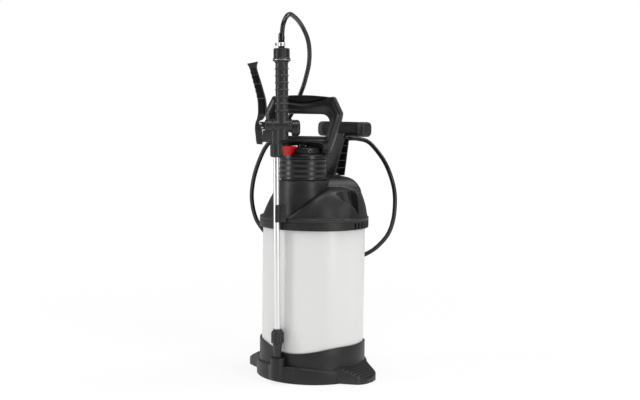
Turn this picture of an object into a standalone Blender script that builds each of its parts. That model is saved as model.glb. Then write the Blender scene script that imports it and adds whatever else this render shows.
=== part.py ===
"""Hand-carried compression sprayer: tank on a foot ring, hooded top, hand pump, lance and hose.

Frame: metres, +Z up, origin on the floor under the tank's axis.  +X and -X point at the two
foot treads, -Y is the front, where the lance is parked, and +Y is the rear, with the carrying post.
"""

import math

import bmesh
import bpy
from mathutils import Euler, Matrix, Vector

# ---- clearances -------------------------------------------------------------------------------
TOUCH = 0.0003  # gap left between two pieces that touch
SLIDE_FIT = 0.0005  # radial play of a piece that slides or turns in another
OVERSHOOT = 0.004  # how far a cutter runs past the face that it cuts

# ---- tank -------------------------------------------------------------------------------------
TANK_RADIUS = 0.103
TANK_WALL = 0.0012
TANK_BOTTOM_Z = 0.0145
TANK_SHOULDER_Z = 0.296
TANK_DOME_HEIGHT = 0.044
TANK_KNUCKLE = 0.014
NECK_PIPE_RADIUS = 0.0405

# ---- pump axis, in front of the tank's axis -----------------------------------------------------
PUMP_Y = -0.039
HANDLE_TURN = math.radians(25.0)  # resting angle of the D handle about the pump axis

# ---- foot ring --------------------------------------------------------------------------------
FOOT_FLOOR = 0.004
FOOT_WALL = 0.0037
SKIRT_FLARE = 0.0095  # how far the skirt stands out from the tank
SKIRT_RADIUS = TANK_RADIUS + SKIRT_FLARE
SKIRT_FRONT_Z = 0.034
SKIRT_SIDE_Z = 0.023
RIM_DIP_Z = 0.0585
RIM_LEFT_Z = 0.0735
RIM_RIGHT_Z = 0.0715
RIM_DIP_AZIMUTH = math.radians(-78.0)
TREAD_LENGTH = 0.0410  # from the root on the skirt to the tip
TREAD_ROOT_X = TANK_RADIUS - 0.001
TREAD_REACH = TREAD_ROOT_X + TREAD_LENGTH
TREAD_HALF_WIDTH = 0.044
TREAD_ROOT_Z = 0.030
TREAD_TIP_Z = 0.0125
TREAD_RIBS = 5
TREAD_RIB_PITCH = 0.0062
TREAD_RIB_WIDTH = 0.0024
TREAD_RIB_HEIGHT = 0.0011
POD_RADIUS = 0.0145
POD_BOTTOM_Z = 0.0090
POD_TOP_Z = 0.0505
SOCKET_RADIUS = 0.0088
SOCKET_FLOOR_Z = 0.0337

# ---- hood over the tank's dome ------------------------------------------------------------------
HOOD_OVERHANG = 0.007  # how far the hood's rim stands out from the tank
HOOD_RIM_RISE = 0.0045  # the hood's lower edge above the tank's shoulder
HOOD_BAND = 0.0200  # height of the hood's upright rim
HOOD_RADIUS = TANK_RADIUS + HOOD_OVERHANG
HOOD_BOTTOM_Z = TANK_SHOULDER_Z + HOOD_RIM_RISE
HOOD_LEDGE_Z = HOOD_BOTTOM_Z + HOOD_BAND
HOOD_WALL = 0.004
HOOD_NECK_RADIUS = 0.049
HOOD_NECK_TOP_Z = HOOD_LEDGE_Z + 0.0740
FRONT_FACE_SLOPE = math.radians(40.4)
FRONT_FACE_INSET = 0.0558  # where the slope starts, in from the rim
FRONT_FACE_Z = HOOD_LEDGE_Z + 0.0447
SHELF_HEIGHT = 0.0800  # the shelf's top above the ledge
SHELF_THICKNESS = 0.0377
SHELF_TOP_Z = HOOD_LEDGE_Z + SHELF_HEIGHT
SHELF_BOTTOM_Z = SHELF_TOP_Z - SHELF_THICKNESS
SHELF_RADIUS = HOOD_RADIUS - 0.0148
SHELF_FRONT_X = 0.047
SHELF_FRONT_Y = -0.018
SHELF_REAR_X = SHELF_RADIUS - 0.0192
# The shelf's rounded shoulder: depth below its top, and how far the edge is drawn in.
SHELF_ROWS = (
    (SHELF_THICKNESS, 0.0),
    (0.0270, 0.0),
    (0.0205, 0.0035),
    (0.0143, 0.0075),
    (0.0095, 0.0115),
    (0.0050, 0.0170),
    (0.0017, 0.0245),
    (0.0, 0.0325),
)

# ---- clip for the lance on the hood's rim -----------------------------------------------------------
CLIP_HEIGHT = 0.0335
CLIP_BOTTOM_Z = HOOD_LEDGE_Z - 0.0040
CLIP_TOP_Z = CLIP_BOTTOM_Z + CLIP_HEIGHT
CLIP_WALL = 0.0026
CLIP_REACH = 0.0182

# ---- screw cap and pump head --------------------------------------------------------------------
CAP_RADIUS = 0.0470
CAP_HEIGHT = 0.0407
CAP_BOTTOM_Z = HOOD_NECK_TOP_Z + 0.0023
CAP_TOP_Z = CAP_BOTTOM_Z + CAP_HEIGHT
CAP_WAVES = 4
CAP_WAVE_DEPTH = 0.0004
NECK_PIPE_TOP_Z = CAP_TOP_Z - 0.0090
HEAD_FLANGE_RADIUS = 0.0488
HEAD_FLANGE_HEIGHT = 0.0110
HEAD_TIER_HEIGHT = 0.0110
HEAD_FLANGE_TOP_Z = CAP_TOP_Z + HEAD_FLANGE_HEIGHT
HEAD_RADIUS = 0.0365
HEAD_TOP_Z = HEAD_FLANGE_TOP_Z + HEAD_TIER_HEIGHT
HEAD_SPIGOT_Z = CAP_TOP_Z - 0.0325
HEAD_SLOTS = 5
HEAD_SLOT_HALF_WIDTH = 0.0055
GASKET_HEIGHT = 0.0024
RELIEF_REACH = 0.0425
RELIEF_BEARING = math.radians(-90.0)
RELIEF_FOOT = (-0.0100, 0.0048)
RELIEF_HEAD = (-0.0122, 0.0130)
RELIEF_DEPTH = 0.0108
RELIEF_BOTTOM_Z = CAP_TOP_Z + 0.0043
RELIEF_TOP_Z = HEAD_TOP_Z + 0.0035

# ---- pump barrel, rod and piston ------------------------------------------------------------------
BARREL_RADIUS = 0.018
BARREL_WALL = 0.0014
BARREL_BOTTOM_Z = 0.085
ROD_RADIUS = 0.006
ROD_BOTTOM_Z = 0.094
PISTON_BOTTOM_Z = 0.102
PISTON_HEIGHT = 0.017
CUP_HEIGHT = 0.006

# ---- D handle -----------------------------------------------------------------------------------
HANDLE_DEPTH = 0.026
HANDLE_LIFT = 0.0070  # the lower bar's underside above the pump head
HANDLE_BAR_HEIGHT = 0.0155
HANDLE_RISE = 0.0800  # from the lower bar's top to the top of the handle
HANDLE_BAR_BOTTOM_Z = HEAD_TOP_Z + HANDLE_LIFT
HANDLE_BAR_TOP_Z = HANDLE_BAR_BOTTOM_Z + HANDLE_BAR_HEIGHT
HANDLE_TOP_Z = HANDLE_BAR_TOP_Z + HANDLE_RISE
HANDLE_FOOT_Z = HANDLE_BAR_BOTTOM_Z - 0.0135
ROD_TOP_Z = HANDLE_BAR_BOTTOM_Z + 0.0073
HANDLE_HUB_RADIUS = 0.012
HANDLE_ROUNDING = 0.0035
PAD_HALF_LENGTH = 0.047
PAD_SAG = 0.0105
PAD_RISE = 0.0010
PAD_CROWN = 0.0026
HANDLE_PIN_RADIUS = 0.002

# ---- carrying post and T grip -----------------------------------------------------------------------
POST_HALF_WIDTH = 0.022
POST_WEB_HALF = 0.006
POST_FOOT_FRONT_Y = 0.0340
POST_FOOT_REAR_Y = 0.0735
POST_HEAD_FRONT_Y = 0.0680
POST_HEAD_REAR_Y = 0.0880
POST_HEIGHT = 0.0775
POST_HEAD_Z = SHELF_TOP_Z + POST_HEIGHT
POST_SKIN = 0.0042
POST_REAR_SKIN = 0.0026
POST_RIB = 0.0022
POST_POCKETS = 5
SCREW_RADIUS = 0.0021
GRIP_Y = 0.100
GRIP_Z = POST_HEAD_Z + 0.0175
GRIP_HALF_LENGTH = 0.0590
GRIP_DEPTH = 0.034
GRIP_HEIGHT = 0.0310
GRIP_ROUNDING = 0.009
GRIP_CAP = 0.0055
GRIP_CORE_RADIUS = 0.0075
GRIP_NECK_HALF_WIDTH = 0.014

# ---- lance: heights run up its own leaning axis, from the nozzle's tip -------------------------------------
LANCE_X = 0.0042
LANCE_STANDOFF = 0.0044  # the lance's foot in front of the skirt
LANCE_Y = -SKIRT_RADIUS - LANCE_STANDOFF
LANCE_FOOT_Z = SOCKET_FLOOR_Z + TOUCH
LANCE_TURN = math.radians(37.0)
LANCE_LEAN = math.radians(-1.1)
TUBE_RADIUS = 0.006
TUBE_BORE = 0.0045
TIP_RADIUS = 0.0056
TIP_TOP = 0.0185
NOZZLE_TOP = 0.0452
NOZZLE_RADIUS = 0.0093
NOZZLE_NUT_RADIUS = 0.0125
NOZZLE_NUT_TOP = 0.0730
BODY_BARREL_HEIGHT = 0.4685
BODY_BARREL_RADIUS = 0.0112
BODY_LEFT = -0.0214
BODY_RIGHT = 0.0305
BODY_TOP = BODY_BARREL_HEIGHT + 0.0150
BODY_SOCKET_TOP = BODY_BARREL_HEIGHT - 0.0085
LANCE_NUT_RADIUS = 0.0118
LANCE_NUT_LENGTH = 0.0280
LANCE_NUT_TOP = BODY_BARREL_HEIGHT - 0.0325
LANCE_NUT_BOTTOM = LANCE_NUT_TOP - LANCE_NUT_LENGTH
GRIP_OFFSET = 0.0115
BONNET_RADIUS = 0.0155
BONNET_LENGTH = 0.0160
BONNET_HEIGHT = BODY_BARREL_HEIGHT - 0.0045
BONNET_END = BODY_RIGHT + BONNET_LENGTH
HANDGRIP_RADIUS = 0.0122
HANDGRIP_BORE = 0.0070
HANDGRIP_LENGTH = 0.1070
HANDGRIP_TOP = BODY_TOP + HANDGRIP_LENGTH
HANDGRIP_RINGS = 7
COLLAR_RADIUS = 0.0170
COLLAR_TOP = HANDGRIP_TOP + 0.0040
GRIP_NUT_RADIUS = 0.0156
GRIP_NUT_HEIGHT = 0.0215
GRIP_NUT_TOP = COLLAR_TOP + GRIP_NUT_HEIGHT
FERRULE_RADIUS = 0.0060
FERRULE_LENGTH = 0.0140
FERRULE_TOP = GRIP_NUT_TOP + FERRULE_LENGTH
CLAMP_RADIUS = 0.0078
CLAMP_HEIGHT = 0.0072

# ---- trigger ------------------------------------------------------------------------------------------
PIVOT_REACH = 0.0052  # the pivot's pin to the left of the valve's barrel
PIVOT_DROP = 0.0035  # and below its axis
PIVOT_X = BODY_LEFT - PIVOT_REACH
PIVOT_HEIGHT = BODY_BARREL_HEIGHT - PIVOT_DROP
PIVOT_PIN_RADIUS = 0.0016
LEVER_HALF_WIDTH = 0.0085
LEVER_SLOT_HALF = 0.0050
STEM_RISE = 0.0060  # the stem above the barrel's axis
STEM_HEIGHT = BODY_BARREL_HEIGHT + STEM_RISE
STEM_RADIUS = 0.0018
STEM_LEFT = PIVOT_X - 0.0049
STEM_RIGHT = 0.004

# ---- outlet and hose ---------------------------------------------------------------------------------
HOSE_RADIUS = 0.0045
OUTLET_X = -0.048
OUTLET_Y = 0.050
OUTLET_HEIGHT = 0.0315
OUTLET_TOP_Z = SHELF_TOP_Z + OUTLET_HEIGHT
OUTLET_SHANK_RADIUS = 0.006
DIP_TUBE_RADIUS = 0.005
DIP_TUBE_BOTTOM_Z = TANK_BOTTOM_Z + 0.0115
STRAINER_RADIUS = 0.0085
STRAINER_HEIGHT = 0.0300
HOSE_STEP = 0.022  # distance between the tube's points

# The hose's own way, chosen by hand: from the lance's ferrule over the handle, down the left side,
# round the back of the tank, up on the right and behind the post to the outlet.
HOSE_ROUTE = [
    (0.0050, -0.1170, 0.6770),
    (0.0050, -0.1165, 0.6885),
    (0.0045, -0.1105, 0.7030),
    (0.0025, -0.0995, 0.7130),
    (-0.0010, -0.0860, 0.7175),
    (-0.0055, -0.0695, 0.7150),
    (-0.0110, -0.0505, 0.7100),
    (-0.0185, -0.0290, 0.7025),
    (-0.0230, -0.0120, 0.6920),
    (-0.0220, -0.0040, 0.6795),
    (-0.0220, 0.0020, 0.6660),
    (-0.0235, 0.0070, 0.6465),
    (-0.0265, 0.0090, 0.6245),
    (-0.0310, 0.0075, 0.6035),
    (-0.0355, 0.0055, 0.5850),
    (-0.0415, 0.0040, 0.5690),
    (-0.0500, 0.0025, 0.5485),
    (-0.0610, 0.0000, 0.5270),
    (-0.0745, -0.0035, 0.5065),
    (-0.0915, -0.0100, 0.4845),
    (-0.1130, -0.0185, 0.4575),
    (-0.1250, -0.0230, 0.4325),
    (-0.1340, -0.0260, 0.4070),
    (-0.1410, -0.0265, 0.3810),
    (-0.1455, -0.0245, 0.3555),
    (-0.1460, -0.0215, 0.3355),
    (-0.1450, -0.0155, 0.3150),
    (-0.1420, -0.0065, 0.2960),
    (-0.1340, 0.0180, 0.2680),
    (-0.1180, 0.0480, 0.2460),
    (-0.0940, 0.0800, 0.2290),
    (-0.0620, 0.1050, 0.2190),
    (-0.0260, 0.1240, 0.2165),
    (0.0080, 0.1350, 0.2220),
    (0.0365, 0.1425, 0.2345),
    (0.0565, 0.1500, 0.2505),
    (0.0770, 0.1555, 0.2760),
    (0.0885, 0.1565, 0.3060),
    (0.0920, 0.1570, 0.3390),
    (0.0895, 0.1575, 0.3690),
    (0.0805, 0.1570, 0.3980),
    (0.0655, 0.1560, 0.4270),
    (0.0475, 0.1525, 0.4505),
    (0.0295, 0.1450, 0.4695),
    (0.0115, 0.1340, 0.4750),
    (-0.0015, 0.1230, 0.4755),
    (-0.0200, 0.1160, 0.4730),
    (-0.0360, 0.1040, 0.4680),
    (-0.0465, 0.0870, 0.4610),
    (-0.0500, 0.0700, 0.4525),
    (-0.0490, 0.0570, 0.4430),
]

# ---- colours ---------------------------------------------------------------------------------------
FINISHES = {
    "black moulding": ((0.020, 0.020, 0.021), 0.45, 0.0),
    "soft black": ((0.012, 0.012, 0.013), 0.70, 0.0),
    "white enamel": ((0.78, 0.78, 0.76), 0.25, 0.0),
    "red moulding": ((0.55, 0.010, 0.015), 0.35, 0.0),
    "bright steel": ((0.62, 0.62, 0.63), 0.22, 1.0),
    "brass": ((0.60, 0.42, 0.16), 0.30, 1.0),
    "rubber": ((0.015, 0.015, 0.015), 0.80, 0.0),
    "grey moulding": ((0.18, 0.18, 0.19), 0.50, 0.0),
}

for old in list(bpy.data.objects):
    bpy.data.objects.remove(old, do_unlink=True)

PIECES = bpy.data.collections.new("pressure_sprayer")
CUTTERS = bpy.data.collections.new("cutters")
for group in (PIECES, CUTTERS):
    bpy.context.scene.collection.children.link(group)


# ---- tools -----------------------------------------------------------------------------------------


def finish(name):
    """The Principled material of one finish, made once."""
    found = bpy.data.materials.get(name)
    if found:
        return found
    colour, roughness, metallic = FINISHES[name]
    made = bpy.data.materials.new(name)
    made.use_nodes = True
    shader = made.node_tree.nodes["Principled BSDF"]
    shader.inputs["Base Color"].default_value = (*colour, 1.0)
    shader.inputs["Roughness"].default_value = roughness
    shader.inputs["Metallic"].default_value = metallic
    return made


def place(name, mesh, look, at=(0.0, 0.0, 0.0), parent=None):
    """A mesh as a named piece of the object, or as a cutter where it has no finish."""
    piece = bpy.data.objects.new(name, mesh)
    piece.location = at
    piece.parent = parent
    if look is None:
        CUTTERS.objects.link(piece)
        piece.hide_render = True
        piece.display_type = "WIRE"
    else:
        PIECES.objects.link(piece)
        mesh.materials.append(finish(look))
    return piece


def frame(name, at, turn):
    """An empty that carries a group of pieces."""
    empty = bpy.data.objects.new(name, None)
    empty.location = at
    empty.rotation_euler = turn
    PIECES.objects.link(empty)
    return empty


def box(name, low, high, look=None, parent=None, rounding=0.0, at=(0.0, 0.0, 0.0)):
    """A box between two corners, with its edges rounded if asked."""
    mesh = bpy.data.meshes.new(name)
    work = bmesh.new()
    bmesh.ops.create_cube(work, size=1.0)
    size = [b - a for a, b in zip(low, high)]
    middle = [(a + b) / 2 for a, b in zip(low, high)]
    bmesh.ops.scale(work, vec=size, verts=work.verts)
    bmesh.ops.translate(work, vec=middle, verts=work.verts)
    work.to_mesh(mesh)
    work.free()
    piece = place(name, mesh, look, at, parent)
    if rounding:
        soften(piece, rounding)
    return piece


def drum(name, radius, bottom, top, look=None, parent=None, at=(0.0, 0.0, 0.0), sides=24, axis="Z"):
    """A cylinder from bottom to top along one axis of its own frame."""
    mesh = bpy.data.meshes.new(name)
    work = bmesh.new()
    bmesh.ops.create_cone(
        work, cap_ends=True, segments=sides, radius1=radius, radius2=radius, depth=top - bottom
    )
    bmesh.ops.translate(work, vec=(0.0, 0.0, (top + bottom) / 2), verts=work.verts)
    if axis == "X":
        bmesh.ops.transform(work, matrix=Matrix.Rotation(math.pi / 2, 4, "Y"), verts=work.verts)
    if axis == "Y":
        bmesh.ops.transform(work, matrix=Matrix.Rotation(-math.pi / 2, 4, "X"), verts=work.verts)
    work.to_mesh(mesh)
    work.free()
    return place(name, mesh, look, at, parent)


def turned(name, profile, look=None, parent=None, at=(0.0, 0.0, 0.0), sides=32, ring=False):
    """A profile of (radius, height) turned about Z: down its outside, and back up inside for a ring."""
    mesh = bpy.data.meshes.new(name)
    edges = [(i, i + 1) for i in range(len(profile) - 1)]
    if ring:
        edges.append((len(profile) - 1, 0))
    mesh.from_pydata([(r, 0.0, z) for r, z in profile], edges, [])
    piece = place(name, mesh, look, at, parent)
    screw = piece.modifiers.new("turn", "SCREW")
    screw.axis = "Z"
    screw.angle = math.tau
    screw.steps = sides
    screw.render_steps = sides
    screw.use_merge_vertices = True
    screw.merge_threshold = 0.00001
    screw.use_smooth_shade = True
    return piece


def ring_profile(outer, inner, bottom, top):
    """The profile of a plain ring."""
    return [(outer, top), (outer, bottom), (inner, bottom), (inner, top)]


def sheet(name, outlines, low, high, plane, look=None, parent=None, at=(0.0, 0.0, 0.0)):
    """Flat outlines given thickness between two offsets: plane XY, XZ or YZ."""
    curve = bpy.data.curves.new(name, "CURVE")
    curve.dimensions = "2D"
    curve.fill_mode = "BOTH"
    curve.extrude = (high - low) / 2
    for outline in outlines:
        spline = curve.splines.new("POLY")
        spline.points.add(len(outline) - 1)
        for point, (u, v) in zip(spline.points, outline):
            point.co = (u, v, 0.0, 1.0)
        spline.use_cyclic_u = True
    guide = bpy.data.objects.new(name + " outline", curve)
    CUTTERS.objects.link(guide)
    mesh = solid_mesh(guide, name)
    mesh.transform(Matrix.Translation((0.0, 0.0, (low + high) / 2)))
    if plane == "XZ":
        mesh.transform(Matrix.Rotation(math.pi / 2, 4, "X"))
    if plane == "YZ":
        mesh.transform(Matrix(((0, 0, 1, 0), (1, 0, 0, 0), (0, 1, 0, 0), (0, 0, 0, 1))))
    return place(name, mesh, look, at, parent)


def solid_mesh(guide, name):
    """A curve's evaluated shape as a closed mesh; the curve is removed."""
    bpy.context.view_layer.update()
    depsgraph = bpy.context.evaluated_depsgraph_get()
    mesh = bpy.data.meshes.new_from_object(guide.evaluated_get(depsgraph))
    mesh.name = name
    work = bmesh.new()
    work.from_mesh(mesh)
    bmesh.ops.remove_doubles(work, verts=work.verts, dist=0.000001)
    bmesh.ops.recalc_face_normals(work, faces=work.faces)
    work.to_mesh(mesh)
    work.free()
    bpy.data.objects.remove(guide, do_unlink=True)
    return mesh


def loft(name, rows, look=None, parent=None, at=(0.0, 0.0, 0.0)):
    """A closed skin over rows of points, each row a ring of the same count."""
    mesh = bpy.data.meshes.new(name)
    count = len(rows[0])
    points = [point for row in rows for point in row]
    faces = [list(reversed(range(count)))]
    for i in range(len(rows) - 1):
        for j in range(count):
            k = (j + 1) % count
            faces.append([i * count + j, i * count + k, (i + 1) * count + k, (i + 1) * count + j])
    faces.append([(len(rows) - 1) * count + j for j in range(count)])
    mesh.from_pydata(points, [], faces)
    work = bmesh.new()
    work.from_mesh(mesh)
    bmesh.ops.recalc_face_normals(work, faces=work.faces)
    work.to_mesh(mesh)
    work.free()
    return place(name, mesh, look, at, parent)


def tube(name, points, radius, look, parent=None, resolution=2):
    """A round wire or hose along points, with closed ends."""
    curve = bpy.data.curves.new(name, "CURVE")
    curve.dimensions = "3D"
    curve.bevel_depth = radius
    curve.bevel_resolution = resolution
    curve.use_fill_caps = True
    spline = curve.splines.new("POLY")
    spline.points.add(len(points) - 1)
    for point, at in zip(spline.points, points):
        point.co = (*at, 1.0)
    guide = bpy.data.objects.new(name + " way", curve)
    CUTTERS.objects.link(guide)
    return place(name, solid_mesh(guide, name), look, parent=parent)


def boolean(piece, other, operation):
    step = piece.modifiers.new(f"{operation.lower()} {other.name}", "BOOLEAN")
    step.operation = operation
    step.solver = "EXACT"
    step.object = other


def cut(piece, *others):
    for other in others:
        boolean(piece, other, "DIFFERENCE")


def join(piece, *others):
    for other in others:
        boolean(piece, other, "UNION")


def soften(piece, width, segments=2, angle=40.0):
    """Rounded edges."""
    bevel = piece.modifiers.new("rounding", "BEVEL")
    bevel.width = width
    bevel.segments = segments
    bevel.limit_method = "ANGLE"
    bevel.angle_limit = math.radians(angle)
    return piece


def arc(centre, radius, start, end, count):
    """Points on an arc, angles in degrees."""
    angles = [math.radians(start + (end - start) * i / (count - 1)) for i in range(count)]
    return [(centre[0] + radius * math.cos(a), centre[1] + radius * math.sin(a)) for a in angles]


def ribbed_outline(radius, depth, ribs):
    """A circle with raised grip ribs, each a flat top between two flanks."""
    points = []
    for i in range(ribs):
        for share, reach in ((0.0, radius - depth), (0.30, radius - depth), (0.45, radius), (0.85, radius)):
            angle = math.tau * (i + share) / ribs
            points.append((reach * math.cos(angle), reach * math.sin(angle)))
    return points


def circle(radius, sides=24, centre=(0.0, 0.0)):
    return arc(centre, radius, 0.0, 360.0 - 360.0 / sides, sides)


def smooth_way(points, step):
    """Points about one step apart on a smooth curve through the given points."""
    ends = [2 * points[0] - points[1], *points, 2 * points[-1] - points[-2]]
    fine = []
    for p0, p1, p2, p3 in zip(ends, ends[1:], ends[2:], ends[3:]):
        for i in range(24):
            t = i / 24
            fine.append(
                0.5
                * (
                    2 * p1
                    + (p2 - p0) * t
                    + (2 * p0 - 5 * p1 + 4 * p2 - p3) * t * t
                    + (3 * p1 - 3 * p2 + p3 - p0) * t * t * t
                )
            )
    fine.append(points[-1])
    lengths = [0.0]
    for a, b in zip(fine, fine[1:]):
        lengths.append(lengths[-1] + (b - a).length)
    count = max(2, round(lengths[-1] / step))
    way = []
    index = 0
    for i in range(count + 1):
        reach = lengths[-1] * i / count
        while index < len(fine) - 2 and lengths[index + 1] < reach:
            index += 1
        span = lengths[index + 1] - lengths[index]
        share = (reach - lengths[index]) / span if span else 0.0
        way.append(fine[index].lerp(fine[index + 1], min(1.0, share)))
    return way


# ---- foot ring -------------------------------------------------------------------------------------


def rim_height(azimuth):
    """Top edge of the foot ring: a dip at the front, wider towards the right tread."""
    away = (azimuth - RIM_DIP_AZIMUTH + math.pi) % math.tau - math.pi
    side, reach = (RIM_RIGHT_Z, math.radians(62)) if away > 0 else (RIM_LEFT_Z, math.radians(46))
    front = 0.5 * (1 + math.cos(math.pi * min(1.0, abs(away) / reach)))
    behind = math.pi - abs(away)
    rear = 0.5 * (1 + math.cos(math.pi * min(1.0, behind / math.radians(88))))
    return side - (side - RIM_DIP_Z) * max(front, rear)


def skirt_height(azimuth):
    """Ledge where the wide skirt ends: high at the front and the back, low beside the treads."""
    return SKIRT_SIDE_Z + (SKIRT_FRONT_Z - SKIRT_SIDE_Z) * math.sin(azimuth) ** 2


def foot_base():
    bore = TANK_RADIUS + TOUCH
    wall = bore + FOOT_WALL
    floor_reach = TANK_RADIUS - TANK_KNUCKLE - 0.008
    profile = [
        (0.0, TANK_BOTTOM_Z + 0.0055),
        (bore - 0.004, TANK_BOTTOM_Z + 0.0055),
        (bore - 0.004, RIM_LEFT_Z),
        (wall, RIM_LEFT_Z),
        (wall, SKIRT_FRONT_Z),
        (SKIRT_RADIUS - 0.0015, SKIRT_FRONT_Z),
        (SKIRT_RADIUS, SKIRT_FRONT_Z - 0.0015),
        (SKIRT_RADIUS, 0.0),
        (0.0, 0.0),
    ]
    base = turned("foot_base", profile, "black moulding", sides=72)
    shaped = bake(base)
    for vertex in shaped.vertices:
        azimuth = math.atan2(vertex.co.y, vertex.co.x)
        if abs(vertex.co.z - RIM_LEFT_Z) < 1e-5:
            vertex.co.z = rim_height(azimuth)
        elif abs(vertex.co.z - SKIRT_FRONT_Z) < 1e-5:
            vertex.co.z = skirt_height(azimuth)
        elif abs(vertex.co.z - SKIRT_FRONT_Z + 0.0015) < 1e-5:
            vertex.co.z = skirt_height(azimuth) - 0.0015
    for side, sign in (("right", 1), ("left", -1)):
        join(base, tread(side, sign))
    pod = drum("nozzle pod", POD_RADIUS, POD_BOTTOM_Z, POD_TOP_Z, at=(LANCE_X, LANCE_Y, 0.0), sides=28)
    low = TANK_BOTTOM_Z - TOUCH
    inner = turned(
        "tank room",
        [(0.0, 0.12), (bore, 0.12), (bore, low), (floor_reach, low)]
        + [(floor_reach, FOOT_FLOOR), (0.0, FOOT_FLOOR)],
        sides=72,
    )
    web_end, web_top = 0.008 - TANK_RADIUS, POD_TOP_Z - 0.0065
    web = box("pod web", (LANCE_X - 0.0140, LANCE_Y, POD_BOTTOM_Z), (LANCE_X + 0.0140, web_end, web_top))
    join(base, pod, web)
    cut(base, inner)
    cut(
        base,
        drum("socket", SOCKET_RADIUS, SOCKET_FLOOR_Z, 0.12, at=(LANCE_X, LANCE_Y, 0.0), sides=20),
    )
    return base


def bake(piece):
    """Applies a piece's modifiers and returns its new mesh."""
    bpy.context.view_layer.update()
    depsgraph = bpy.context.evaluated_depsgraph_get()
    mesh = bpy.data.meshes.new_from_object(piece.evaluated_get(depsgraph))
    piece.modifiers.clear()
    piece.data = mesh
    return mesh


def tread(side, sign):
    """One foot tread: a flared plate, its top sloping out, with ribs across the slope."""
    half = [
        (TREAD_ROOT_X - 0.0140, TREAD_HALF_WIDTH + 0.0120),
        (TREAD_ROOT_X, TREAD_HALF_WIDTH + 0.0045),
        (TREAD_ROOT_X + 0.0110, TREAD_HALF_WIDTH - 0.0010),
        (TREAD_REACH - 0.0075, TREAD_HALF_WIDTH - 0.0120),
        (TREAD_REACH - 0.0020, TREAD_HALF_WIDTH - 0.0220),
        (TREAD_REACH, 0.0100),
    ]
    outline = [(sign * x, y) for x, y in half] + [(sign * x, -y) for x, y in reversed(half)]
    if sign < 0:
        outline.reverse()
    plate = sheet(f"tread plate {side}", [outline], 0.0, TREAD_ROOT_Z + 0.008, "XY")
    slope = math.atan2(TREAD_ROOT_Z - TREAD_TIP_Z, TREAD_REACH - TREAD_ROOT_X)
    knife = box(f"tread knife {side}", (-0.08, -0.09, 0.0), (0.08, 0.09, 0.06))
    knife.location = (sign * TREAD_ROOT_X, 0.0, TREAD_ROOT_Z)
    knife.rotation_euler = (0.0, sign * slope, 0.0)
    cut(plate, knife)
    run = (TREAD_REACH - TREAD_ROOT_X) / math.cos(slope)
    for i in range(TREAD_RIBS):
        along = run - 0.008 - i * TREAD_RIB_PITCH
        half_length = TREAD_HALF_WIDTH * (0.52 + 0.09 * i)
        rib = box(
            f"tread rib {side} {i}",
            (sign * along - TREAD_RIB_WIDTH / 2, -half_length, -0.002),
            (sign * along + TREAD_RIB_WIDTH / 2, half_length, TREAD_RIB_HEIGHT),
        )
        rib.location = knife.location
        rib.rotation_euler = knife.rotation_euler
        join(plate, rib)
    return plate


# ---- tank ------------------------------------------------------------------------------------------


def tank_profile(inset):
    """Outside of the tank drawn in by a wall: domed top, straight side, rounded bottom edge."""
    radius = TANK_RADIUS - inset
    dome = [
        (radius * math.sin(a), TANK_SHOULDER_Z + (TANK_DOME_HEIGHT - inset) * math.cos(a) ** 0.72)
        for a in (math.radians(d) for d in (0, 22, 40, 56, 70, 81, 90))
    ]
    low = TANK_BOTTOM_Z + inset
    knuckle = TANK_KNUCKLE - inset
    foot = [(radius - knuckle + x, low + knuckle + z) for x, z in arc((0, 0), knuckle, 0, -90, 5)]
    return dome + foot + [(0.0, low)]


def tank_shell():
    tank = turned("tank_shell", tank_profile(0.0), "white enamel", sides=64)
    pump_at = (0.0, PUMP_Y, 0.0)
    join(tank, drum("neck pipe", NECK_PIPE_RADIUS, TANK_SHOULDER_Z + 0.022, NECK_PIPE_TOP_Z, at=pump_at, sides=40))
    cut(tank, turned("tank inside", tank_profile(TANK_WALL), sides=64))
    bore = NECK_PIPE_RADIUS - 0.0020
    low = TANK_SHOULDER_Z + OVERSHOOT
    cut(tank, drum("neck bore", bore, low, NECK_PIPE_TOP_Z + OVERSHOOT, at=pump_at, sides=40))
    hole = OUTLET_SHANK_RADIUS + TOUCH
    high = TANK_SHOULDER_Z + TANK_DOME_HEIGHT + 0.020
    cut(tank, drum("outlet hole", hole, low, high, at=(OUTLET_X, OUTLET_Y, 0.0), sides=16))
    return tank


# ---- hood ------------------------------------------------------------------------------------------


def hood_profile(inset, rear):
    """Side of the hood's dome drawn in by a wall; the rear half stands steeper.

    Each point is set in from the rim and up from the ledge.
    """
    steep = [(0.0152, 0.0501), (0.0095, 0.0335), (0.0048, 0.0165)]
    soft = [(0.0257, 0.0475), (0.0181, 0.0355), (0.0095, 0.0180)]
    flank = steep if rear else soft
    outside = [(HOOD_RADIUS, 0.0630), (0.0500, 0.0600), (0.0350, 0.0552)] + flank + [(0.0034, 0.0050)]
    return [(max(0.0, HOOD_RADIUS - r - inset), HOOD_LEDGE_Z + z - inset) for r, z in outside]


def dome(name, inset, tail, look=None):
    """The hood's turned body, its flank drawn out to the steeper line behind the side hollows."""
    soft = hood_profile(inset, False)
    steep = hood_profile(inset, True)
    piece = turned(name, soft + tail, look, sides=64)
    for vertex in bake(piece).vertices:
        radius = math.hypot(vertex.co.x, vertex.co.y)
        for (r, z), (r_rear, z_rear) in zip(soft, steep):
            if radius > HOOD_RADIUS - 0.040 and abs(radius - r) < 1e-5 and abs(vertex.co.z - z) < 1e-5:
                share = min(1.0, max(0.0, 0.35 + vertex.co.y / 0.060))
                grown = r + (r_rear - r) * share
                vertex.co.x *= grown / radius
                vertex.co.y *= grown / radius
                vertex.co.z = z + (z_rear - z) * share
                break
    return piece


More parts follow.
